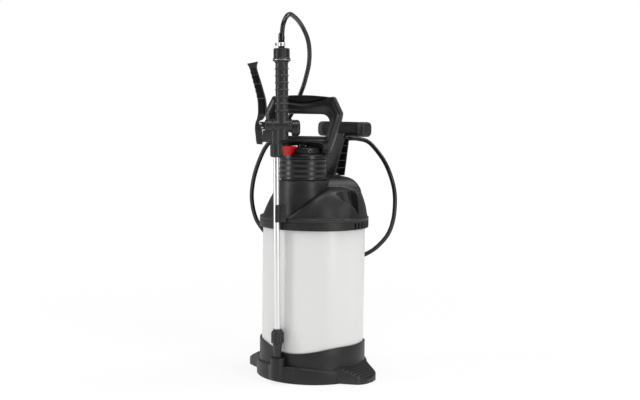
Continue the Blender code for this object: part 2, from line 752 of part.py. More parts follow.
def front_knife(name, drop):
    """A slab whose underside is the hood's flat, sloping front."""
    wide, long = HOOD_RADIUS + 0.020, HOOD_RADIUS + 0.050
    slab = box(name, (-wide, -long, 0.0), (wide, long, 0.09))
    slab.location = (0.0, FRONT_FACE_INSET - HOOD_RADIUS, FRONT_FACE_Z - drop / math.cos(FRONT_FACE_SLOPE))
    slab.rotation_euler = (FRONT_FACE_SLOPE, 0.0, 0.0)
    return slab


def side_scoop(name, sign, grow):
    """The hollow under the shelf's side: its front edge leans back as it goes down to the ledge."""
    low = (HOOD_RADIUS - 0.0125 - grow, -0.0080 - grow, HOOD_LEDGE_Z + 0.0062 - grow)
    high = (HOOD_RADIUS - 0.0335 - grow, -0.0340 - grow, SHELF_BOTTOM_Z + 0.0012 + grow)
    outer = HOOD_RADIUS + 0.020
    rows = []
    for inner, front, z in (low, high):
        rear = 0.020 + grow
        corners = [(inner, front), (outer, front), (outer, rear), (inner, rear)]
        rows.append([(sign * x, y, z) for x, y in corners])
    return loft(name, rows)


def shelf_outline(inset, slip):
    """Plan of the raised rear shelf: from the neck's sides back to an arc over the tank's rim."""
    radius = SHELF_RADIUS - inset
    start = math.degrees(math.acos((SHELF_REAR_X - inset) / radius))
    rear = arc((0.0, 0.0), radius, start, 180.0 - start, 13)
    return [(SHELF_FRONT_X - slip, SHELF_FRONT_Y + slip), *rear, (slip - SHELF_FRONT_X, SHELF_FRONT_Y + slip)]


def rounded_shelf(name, wall):
    """The shelf's block, its shoulder rounding over in rows that draw in as they rise."""
    rows = []
    for depth, inset in SHELF_ROWS:
        height = SHELF_TOP_Z - depth - wall - (0.010 if wall and depth == SHELF_THICKNESS else 0.0)
        rows.append([(x, y, height) for x, y in shelf_outline(inset + wall, 0.4 * inset + wall)])
    return loft(name, rows)


def top_hood():
    pump_at = (0.0, PUMP_Y, 0.0)
    ledge = [
        (HOOD_RADIUS - 0.001, HOOD_LEDGE_Z + 0.001),
        (HOOD_RADIUS, HOOD_LEDGE_Z),
        (HOOD_RADIUS, HOOD_BOTTOM_Z),
        (0.0, HOOD_BOTTOM_Z),
    ]
    hood = dome("top_hood", 0.0, ledge, "black moulding")
    cut(hood, front_knife("front face", 0.0))
    for side, sign in (("right", 1), ("left", -1)):
        cut(hood, side_scoop(f"scoop {side}", sign, 0.0))
    join(hood, rounded_shelf("shelf", 0.0))
    join(hood, drum("hood neck", HOOD_NECK_RADIUS, HOOD_LEDGE_Z - 0.0025, HOOD_NECK_TOP_Z, at=pump_at, sides=56))
    skirt = TANK_RADIUS + TOUCH
    low = HOOD_BOTTOM_Z - OVERSHOOT
    room = dome("hood inside", HOOD_WALL, [(skirt, HOOD_LEDGE_Z - 0.0005), (skirt, low), (0.0, low)])
    join(room, rounded_shelf("shelf inside", HOOD_WALL))
    cut(room, front_knife("front face inside", HOOD_WALL))
    for side, sign in (("right", 1), ("left", -1)):
        cut(room, side_scoop(f"scoop inside {side}", sign, 0.0039))
    cut(hood, room)
    ring = CAP_RADIUS + CAP_WAVE_DEPTH + 0.0012
    over = SHELF_TOP_Z + 0.020
    cut(hood, drum("cap recess", ring, HOOD_NECK_TOP_Z, over, at=pump_at, sides=56))
    pipe = NECK_PIPE_RADIUS + 0.0022
    cut(hood, drum("hood neck bore", pipe, low, HOOD_NECK_TOP_Z + OVERSHOOT, at=pump_at, sides=40))
    under = SHELF_BOTTOM_Z
    hole = OUTLET_SHANK_RADIUS + TOUCH
    cut(hood, drum("hood outlet hole", hole, under, over, at=(OUTLET_X, OUTLET_Y, 0.0), sides=16))
    hole = SCREW_RADIUS + TOUCH
    for x, y in screw_places():
        cut(hood, drum(f"hood screw hole {x:+.3f}", hole, under, over, at=(x, y, 0.0), sides=12))
    return hood


def lance_clip():
    """The hooked clip on the hood's front; the lance's tube slips into it from the left."""
    height = (CLIP_BOTTOM_Z + CLIP_TOP_Z) / 2
    lean = (height - LANCE_FOOT_Z) * math.tan(LANCE_LEAN)
    x = LANCE_X + lean * math.cos(LANCE_TURN)
    y = LANCE_Y + lean * math.sin(LANCE_TURN)
    play = TUBE_RADIUS + 0.0010
    outer = play + CLIP_WALL
    hook = arc((0.0, 0.0), play, 100.0, -102.0, 13)
    back = arc((0.0, 0.0), outer, -102.0, -40.0, 7)
    outline = hook + back + [(CLIP_REACH, -0.0060), (CLIP_REACH, 0.0080), (0.0040, outer), (-0.0012, outer)]
    clip = sheet("lance_clip", [outline], CLIP_BOTTOM_Z, CLIP_TOP_Z, "XY", "black moulding", at=(x, y, 0.0))
    clip.rotation_euler = (0.0, 0.0, LANCE_TURN)
    stem_low = (LANCE_X - 0.0052, LANCE_Y - 0.0011, CLIP_BOTTOM_Z)
    stem = box("clip stem", stem_low, (LANCE_X + 0.0088, 0.020 - HOOD_RADIUS, CLIP_TOP_Z))
    join(clip, stem)
    clear = HOOD_RADIUS + TOUCH
    low, high = CLIP_BOTTOM_Z - OVERSHOOT, CLIP_TOP_Z + OVERSHOOT
    cut(clip, drum("clip seat", clear, low, high, sides=96))
    cut(clip, drum("clip throat", play, low, high, at=(x, y, 0.0), sides=20))
    return clip


# ---- screw cap, pump head and pump -----------------------------------------------------------------


def pump_cap():
    """The screw cap on the neck pipe, with soft rings round it."""
    steps = CAP_WAVES * 4
    side = []
    for i in range(steps + 1):
        share = i / steps
        z = CAP_TOP_Z - 0.001 - share * (CAP_TOP_Z - CAP_BOTTOM_Z - 0.002)
        side.append((CAP_RADIUS + CAP_WAVE_DEPTH * math.cos(math.tau * CAP_WAVES * share), z))
    bore = NECK_PIPE_RADIUS + TOUCH
    profile = [(CAP_RADIUS - 0.001, CAP_TOP_Z), *side, (CAP_RADIUS - 0.001, CAP_BOTTOM_Z)]
    profile += [(bore, CAP_BOTTOM_Z), (bore, CAP_TOP_Z)]
    return turned("pump_cap", profile, "black moulding", at=(0.0, PUMP_Y, 0.0), sides=40, ring=True)


def pump_head():
    pump_at = (0.0, PUMP_Y, 0.0)
    step_z = NECK_PIPE_TOP_Z + GASKET_HEIGHT + 2 * TOUCH
    barrel = BARREL_RADIUS + TOUCH
    guide = ROD_RADIUS + SLIDE_FIT
    profile = [
        (HEAD_RADIUS - 0.0015, HEAD_TOP_Z),
        (HEAD_RADIUS, HEAD_TOP_Z - 0.0015),
        (HEAD_RADIUS, HEAD_FLANGE_TOP_Z + 0.001),
        (HEAD_FLANGE_RADIUS - 0.003, HEAD_FLANGE_TOP_Z - 0.001),
        (HEAD_FLANGE_RADIUS, HEAD_FLANGE_TOP_Z - 0.004),
        (HEAD_FLANGE_RADIUS, CAP_TOP_Z + TOUCH),
        (NECK_PIPE_RADIUS - TOUCH, CAP_TOP_Z + TOUCH),
        (NECK_PIPE_RADIUS - TOUCH, step_z),
        (NECK_PIPE_RADIUS - 0.003, step_z),
        (NECK_PIPE_RADIUS - 0.003, HEAD_SPIGOT_Z),
        (barrel, HEAD_SPIGOT_Z),
        (barrel, step_z),
        (guide, step_z),
        (guide, HEAD_TOP_Z),
    ]
    head = turned("pump_head", profile, "black moulding", at=pump_at, sides=48, ring=True)
    cx, cy = relief_centre()
    low, high = RELIEF_FOOT
    mouth = box(
        "relief mouth",
        (low - 0.0009, -0.03, RELIEF_BOTTOM_Z - 0.0010),
        (high + 0.0009, RELIEF_DEPTH / 2 + 0.0006, RELIEF_TOP_Z + OVERSHOOT),
        at=(cx, cy, 0.0),
    )
    cut(head, mouth)
    low_z, high_z = HEAD_FLANGE_TOP_Z + 0.0030, HEAD_FLANGE_TOP_Z + 0.0065
    half = HEAD_SLOT_HALF_WIDTH
    for i in range(HEAD_SLOTS):
        low, high = (HEAD_RADIUS - 0.0030, -half, low_z), (HEAD_RADIUS + 0.0085, half, high_z)
        slot = box(f"head slot {i}", low, high)
        slot.location = pump_at
        slot.rotation_euler = (0.0, 0.0, math.radians(-38.0 + 60.0 * i))
        cut(head, slot)
    return head


def relief_centre():
    return (
        RELIEF_REACH * math.cos(RELIEF_BEARING),
        PUMP_Y + RELIEF_REACH * math.sin(RELIEF_BEARING),
    )


def relief_knob():
    """The red pull knob of the relief valve: a wedge that widens to an overhanging top."""
    cx, cy = relief_centre()
    (foot_left, foot_right), (head_left, head_right) = RELIEF_FOOT, RELIEF_HEAD
    outline = [
        (foot_left, RELIEF_BOTTOM_Z),
        (foot_right, RELIEF_BOTTOM_Z),
        (foot_right, HEAD_FLANGE_TOP_Z + 0.0012),
        (head_right - 0.0035, HEAD_FLANGE_TOP_Z + 0.0068),
        (head_right, RELIEF_TOP_Z - 0.0008),
        (head_right - 0.0016, RELIEF_TOP_Z),
        (head_left + 0.0030, RELIEF_TOP_Z - 0.0010),
        (head_left, RELIEF_TOP_Z - 0.0040),
        (foot_left - 0.0006, HEAD_FLANGE_TOP_Z + 0.0016),
        (foot_left, HEAD_FLANGE_TOP_Z + 0.0010),
    ]
    half = RELIEF_DEPTH / 2
    knob = sheet("relief_knob", [outline], -half, half, "XZ", "red moulding", at=(cx, cy, 0.0))
    return soften(knob, 0.0012)


def pump_works():
    """Gasket, barrel, foot valve, rod, piston, cup and nut, all on the pump axis."""
    at = (0.0, PUMP_Y, 0.0)
    low = NECK_PIPE_TOP_Z + TOUCH
    turned(
        "head_gasket",
        ring_profile(NECK_PIPE_RADIUS - TOUCH, NECK_PIPE_RADIUS - 0.0026, low, low + GASKET_HEIGHT),
        "rubber",
        at=at,
        sides=32,
        ring=True,
    )
    bore = BARREL_RADIUS - BARREL_WALL
    top = NECK_PIPE_TOP_Z + GASKET_HEIGHT
    lip = BARREL_BOTTOM_Z + 0.0020
    barrel_profile = [(BARREL_RADIUS, top), (BARREL_RADIUS, BARREL_BOTTOM_Z)]
    barrel_profile += [(bore - 0.004, BARREL_BOTTOM_Z), (bore - 0.004, lip), (bore, lip), (bore, top)]
    turned("pump_barrel", barrel_profile, "grey moulding", at=at, sides=28, ring=True)
    seat = bore - TOUCH
    turned(
        "foot_valve",
        [(0.0, lip + 0.0040), (0.004, lip + 0.0040), (seat, lip + 0.0018), (seat, lip + TOUCH)]
        + [(0.003, lip + TOUCH), (0.003, BARREL_BOTTOM_Z - 0.004), (0.0, BARREL_BOTTOM_Z - 0.005)],
        "rubber",
        at=at,
        sides=24,
    )
    rod = turned(
        "pump_rod",
        [(0.0, ROD_TOP_Z), (ROD_RADIUS, ROD_TOP_Z), (ROD_RADIUS, PISTON_BOTTOM_Z + PISTON_HEIGHT + TOUCH)]
        + [(0.0035, PISTON_BOTTOM_Z + PISTON_HEIGHT + TOUCH), (0.0035, ROD_BOTTOM_Z), (0.0, ROD_BOTTOM_Z)],
        "bright steel",
        at=at,
        sides=20,
    )
    cross = drum(
        "rod cross hole", HANDLE_PIN_RADIUS + TOUCH, -0.02, 0.02, sides=12, axis="Y", at=(0.0, PUMP_Y, PIN_Z)
    )
    cross.rotation_euler = (0.0, 0.0, HANDLE_TURN)
    cut(rod, cross)
    hub = 0.0035 + TOUCH
    reach = seat - 0.0003
    groove = reach - 0.0042
    mid = PISTON_BOTTOM_Z + PISTON_HEIGHT / 2
    half = CUP_HEIGHT / 2
    turned(
        "pump_piston",
        [(reach, PISTON_BOTTOM_Z + PISTON_HEIGHT), (reach, mid + half), (groove, mid + half)]
        + [(groove, mid - half), (reach, mid - half), (reach, PISTON_BOTTOM_Z)]
        + [(hub, PISTON_BOTTOM_Z), (hub, PISTON_BOTTOM_Z + PISTON_HEIGHT)],
        "grey moulding",
        at=at,
        sides=24,
        ring=True,
    )
    turned(
        "piston_cup",
        ring_profile(seat, groove + TOUCH, mid - half + TOUCH, mid + half - TOUCH),
        "rubber",
        at=at,
        sides=24,
        ring=True,
    )
    nut = sheet(
        "rod_nut",
        [circle(0.0078, 6), circle(hub, 16)],
        PISTON_BOTTOM_Z - TOUCH - 0.0050,
        PISTON_BOTTOM_Z - TOUCH,
        "XY",
        "bright steel",
        at=at,
    )
    return rod, nut


PIN_Z = (HANDLE_BAR_BOTTOM_Z + ROD_TOP_Z) / 2


def handle_outline():
    """Half of the D handle's outer edge, from the middle of the top to the middle of the bottom."""
    return [
        (PAD_HALF_LENGTH, HANDLE_TOP_Z - 0.0022),
        (0.0560, HANDLE_TOP_Z - 0.0024),
        (0.0600, HANDLE_TOP_Z - 0.0014),
        (0.0628, HANDLE_TOP_Z - 0.0040),
        (0.0768, HANDLE_TOP_Z - 0.0320),
        (0.0778, HANDLE_TOP_Z - 0.0358),
        (0.0755, HANDLE_TOP_Z - 0.0480),
        (0.0578, HANDLE_FOOT_Z + 0.0070),
        (0.0552, HANDLE_FOOT_Z),
        (0.0390, HANDLE_FOOT_Z),
        (0.0380, HANDLE_FOOT_Z + 0.0075),
        (0.0300, HANDLE_FOOT_Z + 0.0092),
        (0.0180, HANDLE_BAR_BOTTOM_Z - 0.0008),
        (0.0130, HANDLE_BAR_BOTTOM_Z),
    ]


def handle_window():
    """Half of the hand opening's edge, top middle to bottom middle."""
    corner = arc((0.0380, HANDLE_TOP_Z - 0.0520), 0.0155, 88.0, -12.0, 5)
    return corner + [(0.0480, HANDLE_BAR_TOP_Z + 0.0040), (0.0460, HANDLE_BAR_TOP_Z + 0.0008), (0.0430, HANDLE_BAR_TOP_Z)]


def mirrored(half):
    """A closed outline from its right half."""
    return half + [(-u, v) for u, v in reversed(half)]


def pad_edges(gap):
    """The soft pad's seat in the top bar: a sagging line between its two ends."""
    ends = HANDLE_TOP_Z - 0.0022
    count = 12
    sag = []
    for i in range(count + 1):
        u = PAD_HALF_LENGTH * (1 - 2 * i / count)
        sag.append((u, ends - PAD_SAG * (1 - (u / PAD_HALF_LENGTH) ** 2) + gap))
    return sag


def pump_handle(carrier):
    handle = sheet(
        "pump_handle",
        [mirrored(handle_outline()), mirrored(handle_window())],
        -HANDLE_DEPTH / 2,
        HANDLE_DEPTH / 2,
        "XZ",
        "black moulding",
        parent=carrier,
    )
    soften(handle, HANDLE_ROUNDING)
    seat = pad_edges(0.0) + [(-PAD_HALF_LENGTH, HANDLE_TOP_Z + 0.02), (PAD_HALF_LENGTH, HANDLE_TOP_Z + 0.02)]
    cut(handle, sheet("pad seat", [seat], -0.02, 0.02, "XZ", parent=carrier))
    hub = drum("handle hub", HANDLE_HUB_RADIUS, HEAD_TOP_Z + TOUCH, ROD_TOP_Z + 0.0012, parent=carrier, sides=24)
    join(handle, hub)
    cut(
        handle,
        drum("rod bore", ROD_RADIUS + TOUCH, HEAD_TOP_Z - 0.0195, ROD_TOP_Z + TOUCH, parent=carrier, sides=20),
        drum(
            "handle pin hole",
            HANDLE_PIN_RADIUS + TOUCH,
            -0.02,
            0.02,
            parent=carrier,
            sides=12,
            axis="Y",
            at=(0.0, 0.0, PIN_Z),
        ),
    )
    half = HANDLE_DEPTH / 2
    drum(
        "handle_pin",
        HANDLE_PIN_RADIUS,
        -half + 0.001,
        half - 0.001,
        "bright steel",
        parent=carrier,
        sides=12,
        axis="Y",
        at=(0.0, 0.0, PIN_Z),
    )
    crown = []
    for i in range(9):
        u = (PAD_HALF_LENGTH - 0.002) * (i / 4 - 1)
        rise = PAD_CROWN * (1 - (u / PAD_HALF_LENGTH) ** 2)
        crown.append((u, HANDLE_TOP_Z - 0.0022 + TOUCH + rise))
    pad = sheet(
        "handle_pad",
        [pad_edges(TOUCH)[1:-1] + crown],
        -half - PAD_RISE / 2,
        half + PAD_RISE / 2,
        "XZ",
        "soft black",
        parent=carrier,
    )
    soften(pad, 0.0022)
    return handle


# ---- carrying post and T grip --------------------------------------------------------------------------


def post_side(low_z, high_z, front_skin, rear_skin):
    """A slice of the post's side between two heights, drawn in by its front and rear skins."""
    foot_z = SHELF_TOP_Z + TOUCH

    def edge(foot_y, head_y, z):
        return foot_y + (head_y - foot_y) * (z - foot_z) / (POST_HEAD_Z - foot_z)

    return [
        (edge(POST_FOOT_FRONT_Y, POST_HEAD_FRONT_Y, low_z) + front_skin, low_z),
        (edge(POST_FOOT_REAR_Y, POST_HEAD_REAR_Y, low_z) - rear_skin, low_z),
        (edge(POST_FOOT_REAR_Y, POST_HEAD_REAR_Y, high_z) - rear_skin, high_z),
        (edge(POST_FOOT_FRONT_Y, POST_HEAD_FRONT_Y, high_z) + front_skin, high_z),
    ]


def pocket_heights():
    """Bottom and top of each pocket in the post's sides, between the ribs."""
    foot_z = SHELF_TOP_Z + TOUCH
    pitch = (POST_HEAD_Z - foot_z - POST_RIB) / POST_POCKETS
    return [(foot_z + POST_RIB + i * pitch, foot_z + (i + 1) * pitch) for i in range(POST_POCKETS)]


def carry_post():
    """The raked post: a smooth front, ribbed pockets in both sides, and the grip's core on top."""
    foot_z = SHELF_TOP_Z + TOUCH
    half = POST_HALF_WIDTH
    post = sheet(
        "carry_post", [post_side(foot_z, POST_HEAD_Z, 0.0, 0.0)], -half, half, "YZ", "black moulding"
    )
    for i, (low, high) in enumerate(pocket_heights()):
        pocket = post_side(low, high, POST_SKIN, POST_REAR_SKIN)
        for side, sign in (("right", 1), ("left", -1)):
            inner, outer = sorted((sign * POST_WEB_HALF, sign * (half + OVERSHOOT)))
            cut(post, sheet(f"pocket {side} {i}", [pocket], inner, outer, "YZ"))
    neck = [
        (POST_HEAD_FRONT_Y + 0.004, POST_HEAD_Z - 0.006),
        (POST_HEAD_REAR_Y - 0.001, POST_HEAD_Z - 0.010),
        (GRIP_Y + 0.006, POST_HEAD_Z + 0.002),
        (GRIP_Y + 0.005, GRIP_Z),
        (GRIP_Y - 0.006, GRIP_Z),
        (POST_HEAD_FRONT_Y + 0.012, POST_HEAD_Z + 0.002),
    ]
    wide = GRIP_NECK_HALF_WIDTH
    join(post, sheet("post neck", [neck], -wide, wide, "YZ"))
    core = GRIP_HALF_LENGTH - GRIP_CAP - 0.002
    join(
        post,
        drum("grip core", GRIP_CORE_RADIUS, -core, core, at=(0.0, GRIP_Y, GRIP_Z), axis="X", sides=20),
    )
    for x, y in screw_places():
        low, high = SHELF_TOP_Z - 0.010, foot_z + POST_RIB + OVERSHOOT
        cut(post, drum(f"screw hole {x:+.3f}", SCREW_RADIUS + TOUCH, low, high, at=(x, y, 0.0), sides=12))
    return post


def screw_places():
    """Where the two screws hold the post down, inside its lowest pockets."""
    y = (POST_FOOT_FRONT_Y + POST_FOOT_REAR_Y) / 2
    x = (POST_WEB_HALF + POST_HALF_WIDTH) / 2
    return [(x, y), (-x, y)]


def post_screws():
    head_z = SHELF_TOP_Z + TOUCH + POST_RIB + TOUCH
    for (x, y), side in zip(screw_places(), ("right", "left")):
        turned(
            f"post_screw_{side}",
            [(0.0, head_z + 0.0030), (0.0040, head_z + 0.0024), (0.0042, head_z), (SCREW_RADIUS, head_z)]
            + [(SCREW_RADIUS, SHELF_TOP_Z - HOOD_WALL - 0.006), (0.0, SHELF_TOP_Z - HOOD_WALL - 0.007)],
            "bright steel",
            at=(x, y, 0.0),
            sides=12,
        )


def grip_section(half_depth, half_height, rounding):
    """Rounded rectangle in (y, z)."""
    points = []
    for cy, cz, start in ((1, 1, 0), (-1, 1, 90), (-1, -1, 180), (1, -1, 270)):
        centre = (cy * (half_depth - rounding), cz * (half_height - rounding))
        points += arc(centre, rounding, start, start + 90, 5)
    return points


def carry_grip():
    """The T grip's sleeve round the post's core, and its two end caps."""
    half_depth, half_height = GRIP_DEPTH / 2, GRIP_HEIGHT / 2
    section = [grip_section(half_depth, half_height, GRIP_ROUNDING)]
    reach = GRIP_HALF_LENGTH - GRIP_CAP
    at = (0.0, GRIP_Y, GRIP_Z)
    sleeve = sheet("grip_sleeve", section, -reach, reach, "YZ", "soft black", at=at)
    soften(sleeve, 0.0004, 1)
    play = GRIP_CORE_RADIUS + TOUCH
    cut(sleeve, drum("core bore", play, -GRIP_HALF_LENGTH, GRIP_HALF_LENGTH, at=at, axis="X", sides=20))
    wide = GRIP_NECK_HALF_WIDTH + TOUCH
    mouth = box("sleeve mouth", (-wide, POST_HEAD_FRONT_Y, POST_HEAD_Z - 0.02), (wide, GRIP_Y + 0.0068, GRIP_Z))
    cut(sleeve, mouth)
    for side, sign in (("right", 1), ("left", -1)):
        low, high = sorted((sign * (reach + TOUCH), sign * GRIP_HALF_LENGTH))
        cap = sheet(f"grip_cap_{side}", section, low, high, "YZ", "black moulding", at=at)
        work = bmesh.new()
        work.from_mesh(cap.data)
        bmesh.ops.dissolve_limit(work, angle_limit=0.01, verts=work.verts, edges=work.edges)
        outer = sign * GRIP_HALF_LENGTH
        edges = [e for e in work.edges if all(abs(v.co.x - outer) < 1e-6 for v in e.verts)]
        bmesh.ops.bevel(work, geom=edges, offset=0.0042, segments=3, profile=0.5, affect="EDGES")
        work.to_mesh(cap.data)
        work.free()
    return sleeve


# ---- lance -------------------------------------------------------------------------------------------


def nozzle(lance):
    """Turning tip, tapered body and ribbed nut at the lance's foot."""
    turned(
        "nozzle_tip",
        [(0.0015, TIP_TOP), (TIP_RADIUS, TIP_TOP), (TIP_RADIUS, 0.002), (TIP_RADIUS - 0.0015, 0.0)]
        + [(0.0015, 0.0)],
        "brass",
        parent=lance,
        sides=20,
        ring=True,
    )
    bore = TUBE_RADIUS + TOUCH
    turned(
        "nozzle_body",
        [(NOZZLE_RADIUS, NOZZLE_TOP), (TIP_RADIUS + 0.0006, TIP_TOP + TOUCH), (0.002, TIP_TOP + TOUCH)]
        + [(0.002, NOZZLE_TOP)],
        "black moulding",
        parent=lance,
        sides=20,
        ring=True,
    )
    nut = sheet(
        "nozzle_nut",
        [ribbed_outline(NOZZLE_NUT_RADIUS, 0.0009, 12), circle(bore, 16)],
        NOZZLE_TOP + TOUCH,
        NOZZLE_NUT_TOP - 0.0055,
        "XY",
        "black moulding",
        parent=lance,
    )
    cone = turned(
        "nozzle nut shoulder",
        [(0.0078, NOZZLE_NUT_TOP), (NOZZLE_NUT_RADIUS - 0.0009, NOZZLE_NUT_TOP - 0.006)]
        + [(bore, NOZZLE_NUT_TOP - 0.006), (bore, NOZZLE_NUT_TOP)],
        parent=lance,
        sides=20,
        ring=True,
    )
    join(nut, cone)


def lance_tube(lance):
    turned(
        "lance_tube",
        ring_profile(TUBE_RADIUS, TUBE_BORE, NOZZLE_TOP + 0.004, BODY_BARREL_HEIGHT - 0.020),
        "bright steel",
        parent=lance,
        sides=20,
        ring=True,
    )
    bore = TUBE_RADIUS + TOUCH
    sheet(
        "lance_nut",
        [ribbed_outline(LANCE_NUT_RADIUS, 0.0009, 10), circle(bore, 16)],
        LANCE_NUT_BOTTOM,
        LANCE_NUT_TOP,
        "XY",
        "black moulding",
        parent=lance,
    )


def valve_body(lance):
    """The cross piece: a lying barrel, a riser to the grip, and the tube's socket."""
    low = LANCE_NUT_TOP + TOUCH
    body = drum(
        "valve_body",
        BODY_BARREL_RADIUS,
        BODY_LEFT,
        BODY_RIGHT,
        "black moulding",
        parent=lance,
        at=(0.0, 0.0, BODY_BARREL_HEIGHT),
        axis="X",
        sides=24,
    )
    riser = drum(
        "riser", HANDGRIP_RADIUS - 0.0004, low + 0.0037, BODY_TOP, parent=lance, at=(GRIP_OFFSET, 0.0, 0.0), sides=24
    )
    socket = drum("tube socket", 0.0108, low, BODY_SOCKET_TOP, parent=lance, sides=24)
    block_low, block_high = (BODY_LEFT - 0.0021, -0.0088, low + 0.0005), (0.004, 0.0088, BODY_SOCKET_TOP)
    block = box("socket block", block_low, block_high, parent=lance, rounding=0.0015)
    lug = box(
        "lever lug",
        (PIVOT_X - 0.0035, 0.0004 - LEVER_SLOT_HALF, PIVOT_HEIGHT - 0.0042),
        (BODY_LEFT + 0.004, LEVER_SLOT_HALF - 0.0004, PIVOT_HEIGHT + 0.0040),
        parent=lance,
    )
    join(body, riser, socket, block, lug)
    pin = drum(
        "pivot hole",
        PIVOT_PIN_RADIUS + TOUCH,
        -0.02,
        0.02,
        parent=lance,
        at=(PIVOT_X, 0.0, PIVOT_HEIGHT),
        axis="Y",
        sides=12,
    )
    stem = drum(
        "stem bore",
        STEM_RADIUS + TOUCH,
        BODY_LEFT - 0.01,
        STEM_RIGHT + 0.004,
        parent=lance,
        at=(0.0, 0.0, STEM_HEIGHT),
        axis="X",
        sides=12,
    )
    bore = drum("tube bore", TUBE_RADIUS + TOUCH, low - 0.01, BODY_BARREL_HEIGHT - 0.019, parent=lance, sides=20)
    cut(body, pin, stem, bore)
    bonnet = turned(
        "valve_bonnet",
        [(0.0, BONNET_END), (0.0085, BONNET_END), (0.0130, BONNET_END - 0.0022)]
        + [(BONNET_RADIUS, BONNET_END - 0.0065), (BONNET_RADIUS, BODY_RIGHT + 0.0012)]
        + [(BONNET_RADIUS - 0.001, BODY_RIGHT + TOUCH), (0.0, BODY_RIGHT + TOUCH)],
        "black moulding",
        parent=lance,
        sides=28,
    )
    bonnet.location = (0.0, 0.0, BONNET_HEIGHT)
    bonnet.rotation_euler = (0.0, math.pi / 2, 0.0)
    drum(
        "valve_stem",
        STEM_RADIUS,
        STEM_LEFT,
        STEM_RIGHT,
        "brass",
        parent=lance,
        at=(0.0, 0.0, STEM_HEIGHT),
        axis="X",
        sides=12,
    )
    return body


def handgrip(lance):
    """The ringed grip with its collar, the ribbed nut, the ferrule and the hose clamp."""
    at = (GRIP_OFFSET, 0.0, 0.0)
    low = BODY_TOP + TOUCH
    pitch = (HANDGRIP_TOP - low) / (HANDGRIP_RINGS + 1)
    side = [(HANDGRIP_RADIUS, HANDGRIP_TOP - 0.004)]
    for i in reversed(range(1, HANDGRIP_RINGS + 1)):
        z = low + i * pitch
        side += [(HANDGRIP_RADIUS, z + 0.0014), (HANDGRIP_RADIUS + 0.0008, z), (HANDGRIP_RADIUS, z - 0.0014)]
    profile = [(COLLAR_RADIUS, COLLAR_TOP), (COLLAR_RADIUS, COLLAR_TOP - 0.0022), *side]
    profile += [(HANDGRIP_RADIUS, low), (HANDGRIP_BORE, low), (HANDGRIP_BORE, COLLAR_TOP)]
    turned("lance_grip", profile, "black moulding", parent=lance, at=at, sides=24, ring=True)
    nut_low = COLLAR_TOP + TOUCH
    nut = sheet(
        "grip_nut",
        [ribbed_outline(GRIP_NUT_RADIUS, 0.0012, 12), circle(FERRULE_RADIUS - 0.0010 + TOUCH, 16)],
        nut_low + 0.0022,
        GRIP_NUT_TOP,
        "XY",
        "black moulding",
        parent=lance,
        at=at,
    )
    flange = turned(
        "grip nut flange",
        ring_profile(COLLAR_RADIUS, FERRULE_RADIUS - 0.0010 + TOUCH, nut_low, nut_low + 0.0030),
        parent=lance,
        at=at,
        sides=24,
        ring=True,
    )
    join(nut, flange)
    ledge = GRIP_NUT_TOP + TOUCH
    turned(
        "hose_ferrule",
        [(FERRULE_RADIUS, FERRULE_TOP), (FERRULE_RADIUS, ledge), (FERRULE_RADIUS - 0.0010, ledge)]
        + [(FERRULE_RADIUS - 0.0010, COLLAR_TOP - 0.006), (0.0025, COLLAR_TOP - 0.006)]
        + [(0.0025, FERRULE_TOP)],
        "soft black",
        parent=lance,
        at=at,
        sides=20,
        ring=True,
    )
    middle = (FERRULE_TOP + ledge) / 2
    clamp = turned(
        "hose_clamp_lance",
        ring_profile(
            CLAMP_RADIUS, FERRULE_RADIUS + TOUCH, middle - CLAMP_HEIGHT / 2, middle + CLAMP_HEIGHT / 2
        ),
        "bright steel",
        parent=lance,
        at=at,
        sides=20,
        ring=True,
    )
    ear = box(
        "clamp ear",
        (-CLAMP_RADIUS - 0.0035, -0.0030, middle - CLAMP_HEIGHT / 2 + 0.0004),
        (-CLAMP_RADIUS + 0.0010, 0.0030, middle + CLAMP_HEIGHT / 2 - 0.0004),
        parent=lance,
        at=at,
    )
    join(clamp, ear)


def lever_outline():
    """The trigger's side view from its pivot: flared tip, long arm, and the bent foot."""
    return [
        (-0.0282, 0.1210),
        (-0.0224, 0.1255),
        (-0.0164, 0.1275),
        (-0.0124, 0.1255),
        (-0.0069, 0.1265),
        (-0.0099, 0.1160),
        (-0.0084, 0.1090),
        (-0.0024, 0.0900),
        (0.0073, 0.0557),
        (0.0094, 0.0340),
        (0.0084, 0.0240),
        (0.0041, 0.0186),
        (-0.0052, 0.0150),
        (-0.0052, 0.0062),
        (0.0038, 0.0030),
        (0.0040, -0.0025),
        (0.0004, -0.0044),
        (-0.0034, -0.0060),
        (-0.0006, -0.0290),
        (-0.0034, -0.0330),
        (-0.0099, -0.0325),
        (-0.0119, -0.0190),
        (-0.0139, 0.0000),
        (-0.0132, 0.0070),
        (-0.0079, 0.0220),
        (-0.0084, 0.0557),
        (-0.0169, 0.0900),
        (-0.0224, 0.1110),
        (-0.0236, 0.1150),
    ]


